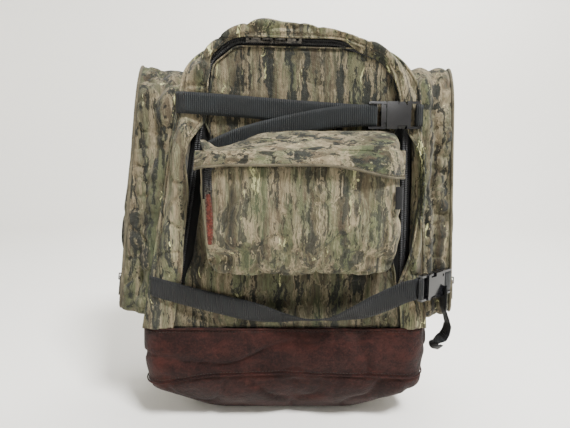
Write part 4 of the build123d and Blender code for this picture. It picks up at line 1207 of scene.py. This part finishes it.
    # Plain woven tab sewn in the right seam.
    lo, hi = (np.array(c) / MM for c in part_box("label_tab"))
    zz = np.linspace(lo[2], hi[2], 20)
    P = grid_of(lambda t: np.stack([np.full(20, hi[0] - 8 + 9 * t),
                                    FP_FACE - 7.2 + 4.2 * t ** 2 + 0.5 * np.sin(zz / 5), zz], axis=1), 8)
    place(cloth_grid("woven_tab", P, LABEL, to_front, 1.2), "root", "label_tab", slot="label")


# ---- webbing ------------------------------------------------------------------------------------
def build_straps():
    # Upper strap: sewn at the left seam, behind the buckle's bar, round it and back as a tail.
    bar_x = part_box("upper_buckle_male")[0].x / MM
    buckle_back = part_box("upper_buckle_male")[1].y / MM + 1.0
    back, before = buckle_back - 1.5, buckle_back - 6.3
    path = [(-131, -89, 422), (-127, -94, 421.8), (-119, -97.5, 421.2), (-60, -97.6, 417),
            (0, -97.0, 412), (60, -95.6, 408), (88, back, 406.3), (bar_x + 2, back, 406),
            (bar_x + 11, back, 406), (bar_x + 13.4, (back + before) / 2, 406),
            (bar_x + 11, before, 406), (bar_x + 2, before, 406), (82, before - 0.4, 405.5),
            (62, before - 0.8, 404), (30, before - 0.6, 399), (0, before - 0.4, 393),
            (-30, before + 0.2, 386), (-55, before + 0.8, 378.5), (-74, before + 3.5, 371),
            (-90, before + 7.5, 364)]
    strap = ribbon("web_upper_strap", smooth_line(path, 260, 1), Z_UP, WEB_X)
    bar = stitches(np.array([(-119, -98.7, z) for z in np.linspace(411, 431, 20)]), FRONT, THREAD_DARK)
    place(join("web_upper_strap", [strap, bar]), "root", "upper_strap", slot="webbing")

    def buckle_frame(origin, x_dir, z_dir):
        """Points in a buckle's own axes: x from its bar's end to the far end, z out of its face."""
        return lambda x, z: np.array(origin) + np.array(x_dir) * x + np.array(z_dir) * z

    spot = buckle_frame((98.3, -93.5, 406.0), (1.0, 0, 0), FRONT)
    stub = [spot(x, z) for x, z in (
        (62.6, 2.0), (62.6, 4.0), (62.6, 6.5), (61.6, 8.3), (59.4, 8.6), (57.4, 8.0),
        (57.0, 4.0), (57.4, 0.4), (59.4, -0.4), (62.0, -1.2), (64.5, -2.4), (67.0, -1.0))]
    place(ribbon("web_upper_stub", smooth_line(stub, 90, 1), Z_UP, WEB_X), "root",
          "upper_strap_stub", slot="webbing")

    # Lower strap: hangs from the left seam, turns on edge at its lowest, and comes up to the buckle.
    turn = math.radians(38)
    spot = buckle_frame((207.0, -81.0, 201.0), (-math.cos(turn), -math.sin(turn), 0.0),
                        (math.sin(turn), -math.cos(turn), 0.0))
    path = [(-173, -87, 196), (-168, -92.5, 195), (-150, -96, 191), (-110, -99, 181), (-60, -101, 169),
            (-10, -103, 159), (30, -106, 155.5), (60, -109, 158), (95, -112, 170), (125, -115, 185),
            (145, -118.5, 196)]
    path += [spot(x, z) for x, z in (
        (65, 1.5), (61.6, -0.4), (59.4, -0.6), (57.4, 0.0), (56.9, 4.0), (57.4, 8.0),
        (59.4, 8.7), (61.8, 8.2), (64.5, 4.5))]
    line = smooth_line(path, 320, 1)
    x = line[:, 0]
    lean = 1.15 * ease(x, -60, 35) * (1 - ease(x, 40, 125))
    across = np.stack([0 * x, -np.sin(lean), np.cos(lean)], axis=1)
    place(ribbon("web_lower_strap", line, across, WEB_SHADED), "root", "lower_strap", slot="webbing")

    end = [(196, -79.6, 201), (203, -79.8, 201), (208.5, -79.4, 201)]
    end += [spot(x, z) for x, z in (
        (-5.2, 1.6), (-5.0, 3.0), (-1.0, 1.2), (3.0, 1.3), (8, 1.5), (11.4, 2.0),
        (12.6, 4.0), (11.4, 6.0), (8, 6.4), (2.0, 6.6), (-2.5, 5.6), (-4.4, 3.4))]
    box = [stitches(np.array([(x, -79.9, z) for z in np.linspace(190, 212, 24)]), FRONT, THREAD)
           for x in (198, 206)]
    loop = ribbon("web", smooth_line(end, 130, 1), Z_UP, WEB_X)
    place(join("web_lower_end", [loop, *box]), "root", "lower_strap_end", slot="webbing")

    # Its tail hangs edge-on from the buckle and kicks to the left at its folded end.
    path = [(203, -91, 194), (200.5, -95, 184), (199, -99, 169), (202, -102.5, 158), (203.5, -105, 150),
            (201.5, -106, 141), (197.5, -107, 134.5), (191.5, -107.5, 130.5), (187, -108, 127),
            (188.5, -109, 122.5), (194, -110, 121.5)]
    line = smooth_line(path, 140, 1)
    s = np.linspace(0, 1, len(line))
    twist = 0.45 * ease(s, 0.74, 0.92)
    start = ease(s, 0, 0.16)
    across = np.stack([0.45 * twist - 0.05, -1.0 + 0.8 * twist, (1 - start) * 1.2 + twist * 0.9], axis=1)
    tail = ribbon("web_tail", line, across, WEB_Z)
    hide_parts("lower_strap_tail")
    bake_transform(tail)


# ---- back and shoulder straps -------------------------------------------------------------------
def slab(name, ring, near, far, material):
    """A closed flat solid between two depths from a front-view ring."""
    n = len(ring)
    verts = [(x, near, z) for x, z in ring] + [(x, far, z) for x, z in ring]
    faces = [(i, (i + 1) % n, n + (i + 1) % n, n + i) for i in range(n)]
    faces += [tuple(reversed(range(n))), tuple(range(n, 2 * n))]
    return make_mesh(name, verts, faces, material)


def coords_of(mesh, kind="co"):
    P = np.empty(len(mesh.vertices) * 3)
    mesh.vertices.foreach_get(kind, P)
    return P.reshape(-1, 3)


def normals_of(mesh):
    return coords_of(mesh, "normal")


def set_coords(mesh, P):
    mesh.vertices.foreach_set("co", P.ravel())
    mesh.update()


def inflate(jobs):
    """Fills pads by cloth simulation, all at once.

    Each job has an object, the most it may move in metres, and its lowest y in millimetres."""
    before = []
    for obj, cap, rest_y in jobs:
        mod = obj.modifiers.new("remesh", "REMESH")
        mod.mode = "VOXEL"
        mod.voxel_size = 0.0045
        bake(obj)
        before.append(coords_of(obj.data))
    for obj, cap, rest_y in jobs:
        cloth = obj.modifiers.new("fill", "CLOTH").settings
        cloth.quality = 5
        cloth.mass = 0.25
        cloth.tension_stiffness = 12
        cloth.compression_stiffness = 4
        cloth.bending_stiffness = 0.4
        cloth.use_pressure = True
        cloth.uniform_pressure_force = 4.0
        cloth.effector_weights.gravity = 0.0
    for f in range(1, 21):
        bpy.context.scene.frame_set(f)
    depsgraph = bpy.context.evaluated_depsgraph_get()
    after = []
    for obj, cap, rest_y in jobs:
        after.append(coords_of(obj.evaluated_get(depsgraph).data))
        obj.modifiers.clear()
    bpy.context.scene.frame_set(1)
    for (obj, cap, rest_y), old, new in zip(jobs, before, after):
        move = new - old
        far = np.linalg.norm(move, axis=1, keepdims=True)
        new = old + move * np.minimum(1, cap / np.maximum(far, 1e-9))
        new[:, 1] = np.maximum(new[:, 1], rest_y * MM)
        set_coords(obj.data, new)
        mod = obj.modifiers.new("smooth", "SUBSURF")
        mod.levels = mod.render_levels = 1
        bake(obj)


def press(obj, line, depth, width):
    """Sews a channel into the back face along a front-view line, millimetres."""
    P = coords_of(obj.data)
    line = resample(np.array(line, float), 90)
    flat = P[:, (0, 2)] / MM
    d = np.min(np.linalg.norm(flat[:, None] - line[None], axis=2), axis=1)
    faces_back = normals_of(obj.data)[:, 1] > 0.2
    P[:, 1] -= depth * MM * np.exp(-(d / width) ** 2) * faces_back
    set_coords(obj.data, P)


def skin_line(obj, line, lift, reach):
    """A front-view line laid on an object's back face: above its highest point within reach."""
    P = coords_of(obj.data) / MM
    line = resample(np.array(line, float), 120)
    d = np.linalg.norm(P[None][:, :, (0, 2)] - line[:, None], axis=2)
    y = np.array([P[row < reach, 1].max() if (row < reach).any() else P[:, 1].max() for row in d])
    y = np.convolve(np.pad(y, 4, mode="edge"), np.ones(9) / 9, mode="valid")
    return at_y(line, y + lift)


def close_ring(ring, n):
    """A closed ring of n evenly spaced points."""
    return resample(np.concatenate([ring, ring[:1]]), n + 1)[:-1]


def pad_ring(way):
    """Front-view outline of one shoulder pad: its middle line widened, with rounded ends."""
    mids = [(17 * z / 452 + way * out, z) for out, z in ((46, 440), (60, 380), (88, 300), (116, 228))]
    mid = resample(smooth_line(mids, 60, 3), 60)
    normal = side_normals(mid)
    ring = np.concatenate([mid + normal * 27, (mid - normal * 27)[::-1]])
    return mid, relax(close_ring(ring, 160), 6, closed=True)


def build_back():
    inset = OUTLINE - OUTLINE_NORMAL * 29
    inset = inset[inset[:, 1] > 168]
    foot = np.stack([np.linspace(inset[-1, 0], inset[0, 0], 40), np.full(40, inset[-1, 1])],
                    axis=1)[1:-1]
    ring = relax(close_ring(np.concatenate([inset, foot]), 300), 40, closed=True)
    back = slab("back_cushion", ring, 91.0, 98.0, MESH)
    corners = [(-62, 425), (-62, 476), (96, 476), (96, 425)]
    yoke_ring = resample(rounded_line(corners, [16] * 4, closed=True), 161)[:-1]
    yoke = slab("yoke_pad", yoke_ring, 100.5, 109.5, CAMO_GUSSET)
    jobs = [(back, 0.0065, 90.5), (yoke, 0.004, 99.0)]
    pads = []
    for name, way in (("left", -1), ("right", 1)):
        mid, ring = pad_ring(way)
        pad = slab(f"{name}_strap_pad", ring, 107.0, 116.0, MESH)
        pads.append((name, way, mid, ring, pad))
        jobs.append((pad, 0.0055, 103.5))
    inflate(jobs)

    # The back cushion is quilted, and pressed in behind each lock.
    channels = [[(17 * z / 452 + x, z) for z in (190, 300, 480)] for x in (-44, 44)]
    channels += [[(-118 + 0.04 * z, z), (134 - 0.02 * z, z)] for z in (250, 330, 405)]
    for line in channels:
        press(back, line, 4.5, 5.0)
    for lock in ("left_ladder_lock", "right_ladder_lock"):
        (x0, _, z0), (x1, _, z1) = (np.array(c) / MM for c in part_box(lock))
        press(back, [((x0 + x1) / 2, z1 - 8), ((x0 + x1) / 2, z0 - 32)], 7.5, 22.0)
    threads = [stitches(skin_line(back, line, 0.1, 2.5), -FRONT, THREAD_DARK) for line in channels]
    place(back, "root", "back_pad", slot="padding")
    place(join("back_thread", threads), "root", slot="padding")
    rim = ring_of(back)
    edge = resample(np.concatenate([rim, rim[:1]]), 300)
    place(tube("back_binding", edge, 2.6, TAPE), "root", slot="padding")

    press(yoke, [(-54, 450), (90, 450)], 2.0, 4.0)
    lines = [[(-54, 432), (88, 432)], [(-54, 469), (88, 469)],
             [(-54, 432), (-54, 469)], [(88, 432), (88, 469)]]
    sewn = [stitches(skin_line(yoke, line, 0.2, 3.0), -FRONT, THREAD) for line in lines]
    place(yoke, "root", "shoulder_yoke", slot="canvas")
    place(join("yoke_thread", sewn), "root", slot="canvas")

    for name, way, mid, ring, pad in pads:
        body = f"{name}_shoulder_pad"
        grown = ring + outer_normals(ring, ring.mean(0), closed=True) * 1.6
        wall = tube("binding", at_y(grown, 111.5), 3.0, TAPE, closed=True)
        press(pad, mid[4:-4], 3.0, 6.0)
        normal = side_normals(mid)
        sewn = [stitches(skin_line(pad, mid[3:-3] + normal[3:-3] * off, 0.1, 2.5), -FRONT, THREAD_DARK)
                for off in (19, -19)]
        # The webbing sewn down the pad's end holds the lock: it goes round the lock's top bar.
        lock_lo, lock_hi = (np.array(c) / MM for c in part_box(f"{name}_ladder_lock"))
        lx, lz = (lock_lo[0] + lock_hi[0]) / 2, (lock_lo[2] + lock_hi[2]) / 2
        along = unit(mid[-1] - mid[-8])

        def up_pad(k, y):
            x, z = mid[-1] - along * k
            return x, y, z

        hold = [up_pad(62, 118.6), up_pad(40, 119.6), up_pad(16, 119.2), up_pad(2, 117.0)]
        hold += [(lx, y, lz + up) for up, y in ((16.5, 115.2), (12.6, 114.8), (8.6, 114.4), (8.0, 111.0),
                                                (8.6, 107.6), (12.6, 107.2), (17.0, 107.6))]
        hold += [up_pad(2, 107.4), up_pad(8, 108.6)]
        web = ribbon("web", smooth_line(hold, 150, 1), (1.0, 0, 0), WEB_Z)
        rows = [np.array([mid[-1] - along * k + np.array([w, 0]) for w in (-10, 10)]) for k in (22, 34, 46)]
        box = [stitches(at_y(row, 120.8), -FRONT, THREAD) for row in rows]
        place(pad, body, body, slot="padding")
        place(join(f"{name}_pad_trim", [wall, *sewn, web, *box]), body, slot="webbing")

        # Adjuster: over the lock's middle bar, down behind, out past the side and in to the base.
        bow = 236 if way < 0 else 222
        path = [(lx + way * out, y, lz + up) for out, y, up in (
            (2, 119.5, -34), (1, 117.5, -18), (0, 116.2, -6), (0, 114.2, 2.2), (0, 110.4, 3.2),
            (0, 106.8, 1.2), (0, 105.6, -8), (8, 105.4, -26), (42, 107, -52))]
        path += [(way * out, y, z) for out, y, z in (
            (196, 106, 130), (bow, 98, 112), (bow - 2, 93, 101), (208, 93.5, 98), (184, 95.6, 106),
            (164, 96.0, 112), (152, 96.0, 112))]
        line = smooth_line(path, 240, 1)
        s = np.linspace(0, 1, len(line))
        low = ease(s, 0.42, 0.66)
        across = np.stack([np.cos(low * 1.35), 0.25 * np.sin(low * math.pi), way * np.sin(low * 1.35)],
                          axis=1)
        # Two pieces meet below the lock: one bends to the lock, one to the base.
        meet = lz - 40
        cut = int(np.flatnonzero((line[:, 2] < meet) & (s > 0.3))[0])
        upper = ribbon(f"web_{name}_adjuster_top", line[:cut + 1], across[:cut + 1], WEB_Z)
        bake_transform(upper)
        strip = ribbon(f"web_{name}_adjuster", line[cut:], across[cut:], WEB_Z)
        if way < 0:
            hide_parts("adjuster_webbing")
        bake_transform(strip)


def ring_of(obj):
    """The widest ring round a flat pad, from its bounding directions, in millimetres."""
    P = coords_of(obj.data) / MM
    c = np.array([P[:, 0].mean(), P[:, 2].mean()])
    angle = np.arctan2(P[:, 2] - c[1], P[:, 0] - c[0])
    ring = []
    for a in np.linspace(-math.pi, math.pi, 180, endpoint=False):
        near = np.abs(np.angle(np.exp(1j * (angle - a)))) < 0.03
        Q = P[near]
        k = np.argmax(np.hypot(Q[:, 0] - c[0], Q[:, 2] - c[1]))
        ring.append((Q[k, 0], 93.5, Q[k, 2]))
    return relax(np.array(ring), 4, closed=True)


# ---- finish of the CAD's own hardware -----------------------------------------------------------
def finish_hardware():
    looks = {PLASTIC: ("upper_buckle_male", "upper_buckle_female",
                       "lower_buckle_male", "lower_buckle_female",
                       "upper_prong_a", "upper_prong_b", "lower_prong_a", "lower_prong_b",
                       "left_ladder_lock", "right_ladder_lock"),
             METAL: ("main_slider_left", "main_slider_right", "main_pull_left", "main_pull_right",
                     "left_pocket_slider", "left_pocket_pull", "right_pocket_slider", "right_pocket_pull",
                     "front_pocket_slider", "front_pocket_pull"),
             LINING: ("back_stiffener",)}
    for material, nodes in looks.items():
        for node in nodes:
            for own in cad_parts[node].material_slots:
                own.material = material


# ---- stage --------------------------------------------------------------------------------------
def build_stage():
    floor_look = Shader("studio_floor", roughness=0.7, base=colour(244, 242, 236), specular=0.2)
    # A round floor that curves up into a wall on every side, in metres.
    radius, wall, cove = 3.7, 4.5, 0.7
    run = rounded_line([(0.0005, 0.0), (radius, 0.0), (radius, wall)], [0, cove, 0], step=0.05)
    turns = np.linspace(0, 2 * math.pi, 96, endpoint=False)
    P = np.stack([np.stack([run[:, 0] * math.cos(a), run[:, 0] * math.sin(a) - 1.3, run[:, 1]], axis=1)
                  for a in turns], axis=0)
    faces = grid_faces(len(turns), len(run), closed_u=True)
    sweep = make_mesh("studio_sweep", P.reshape(-1, 3) / MM, faces, floor_look.mat)

    for name, at, aim, size, power in (("key", (0.75, -1.2, 2.15), (0, 0, 0.28), 0.5, 143),
                                       ("fill", (-1.7, -1.9, 1.2), (0, 0, 0.25), 1.8, 7),
                                       ("top", (0.2, 0.4, 2.6), (0, 0, 0.3), 1.6, 30),
                                       ("back", (0.6, 1.3, 1.9), (0.2, 2.0, 0.8), 1.6, 36),
                                       ("card", (0.25, -0.75, 0.56), (0.10, 0, 0.40), 0.10, 0.4)):
        lamp = bpy.data.lights.new(name, "AREA")
        lamp.energy, lamp.size = power, size
        obj = bpy.data.objects.new(name, lamp)
        obj.location = at
        obj.rotation_euler = (Vector(aim) - Vector(at)).to_track_quat("-Z", "Y").to_euler()
        bpy.context.scene.collection.objects.link(obj)
    world = bpy.data.worlds.new("studio")
    world.use_nodes = True
    world.node_tree.nodes["Background"].inputs["Color"].default_value = (0.86, 0.87, 0.9, 1)
    world.node_tree.nodes["Background"].inputs["Strength"].default_value = 0.10
    bpy.context.scene.world = world

    # The photograph's camera, 8 degrees down.
    cam = bpy.data.cameras.new("view")
    cam.lens, cam.sensor_width = 26.65, 36.0
    obj = bpy.data.objects.new("view", cam)
    obj.location = (0.0, -0.609, 0.360)
    obj.rotation_euler = (math.radians(90 - 8), 0, 0)
    bpy.context.scene.collection.objects.link(obj)
    bpy.context.scene.camera = obj


build_shell()
build_front_panel()
build_main_zip()
build_leather()
piping = [build_side_pocket(side, 40.0 + 10 * k) for k, side in enumerate(SIDES)]
place(join("side_pocket_piping_cords", piping), "root", "side_pocket_piping", slot="piping")
build_front_pocket()
build_straps()
build_back()
finish_hardware()
build_stage()
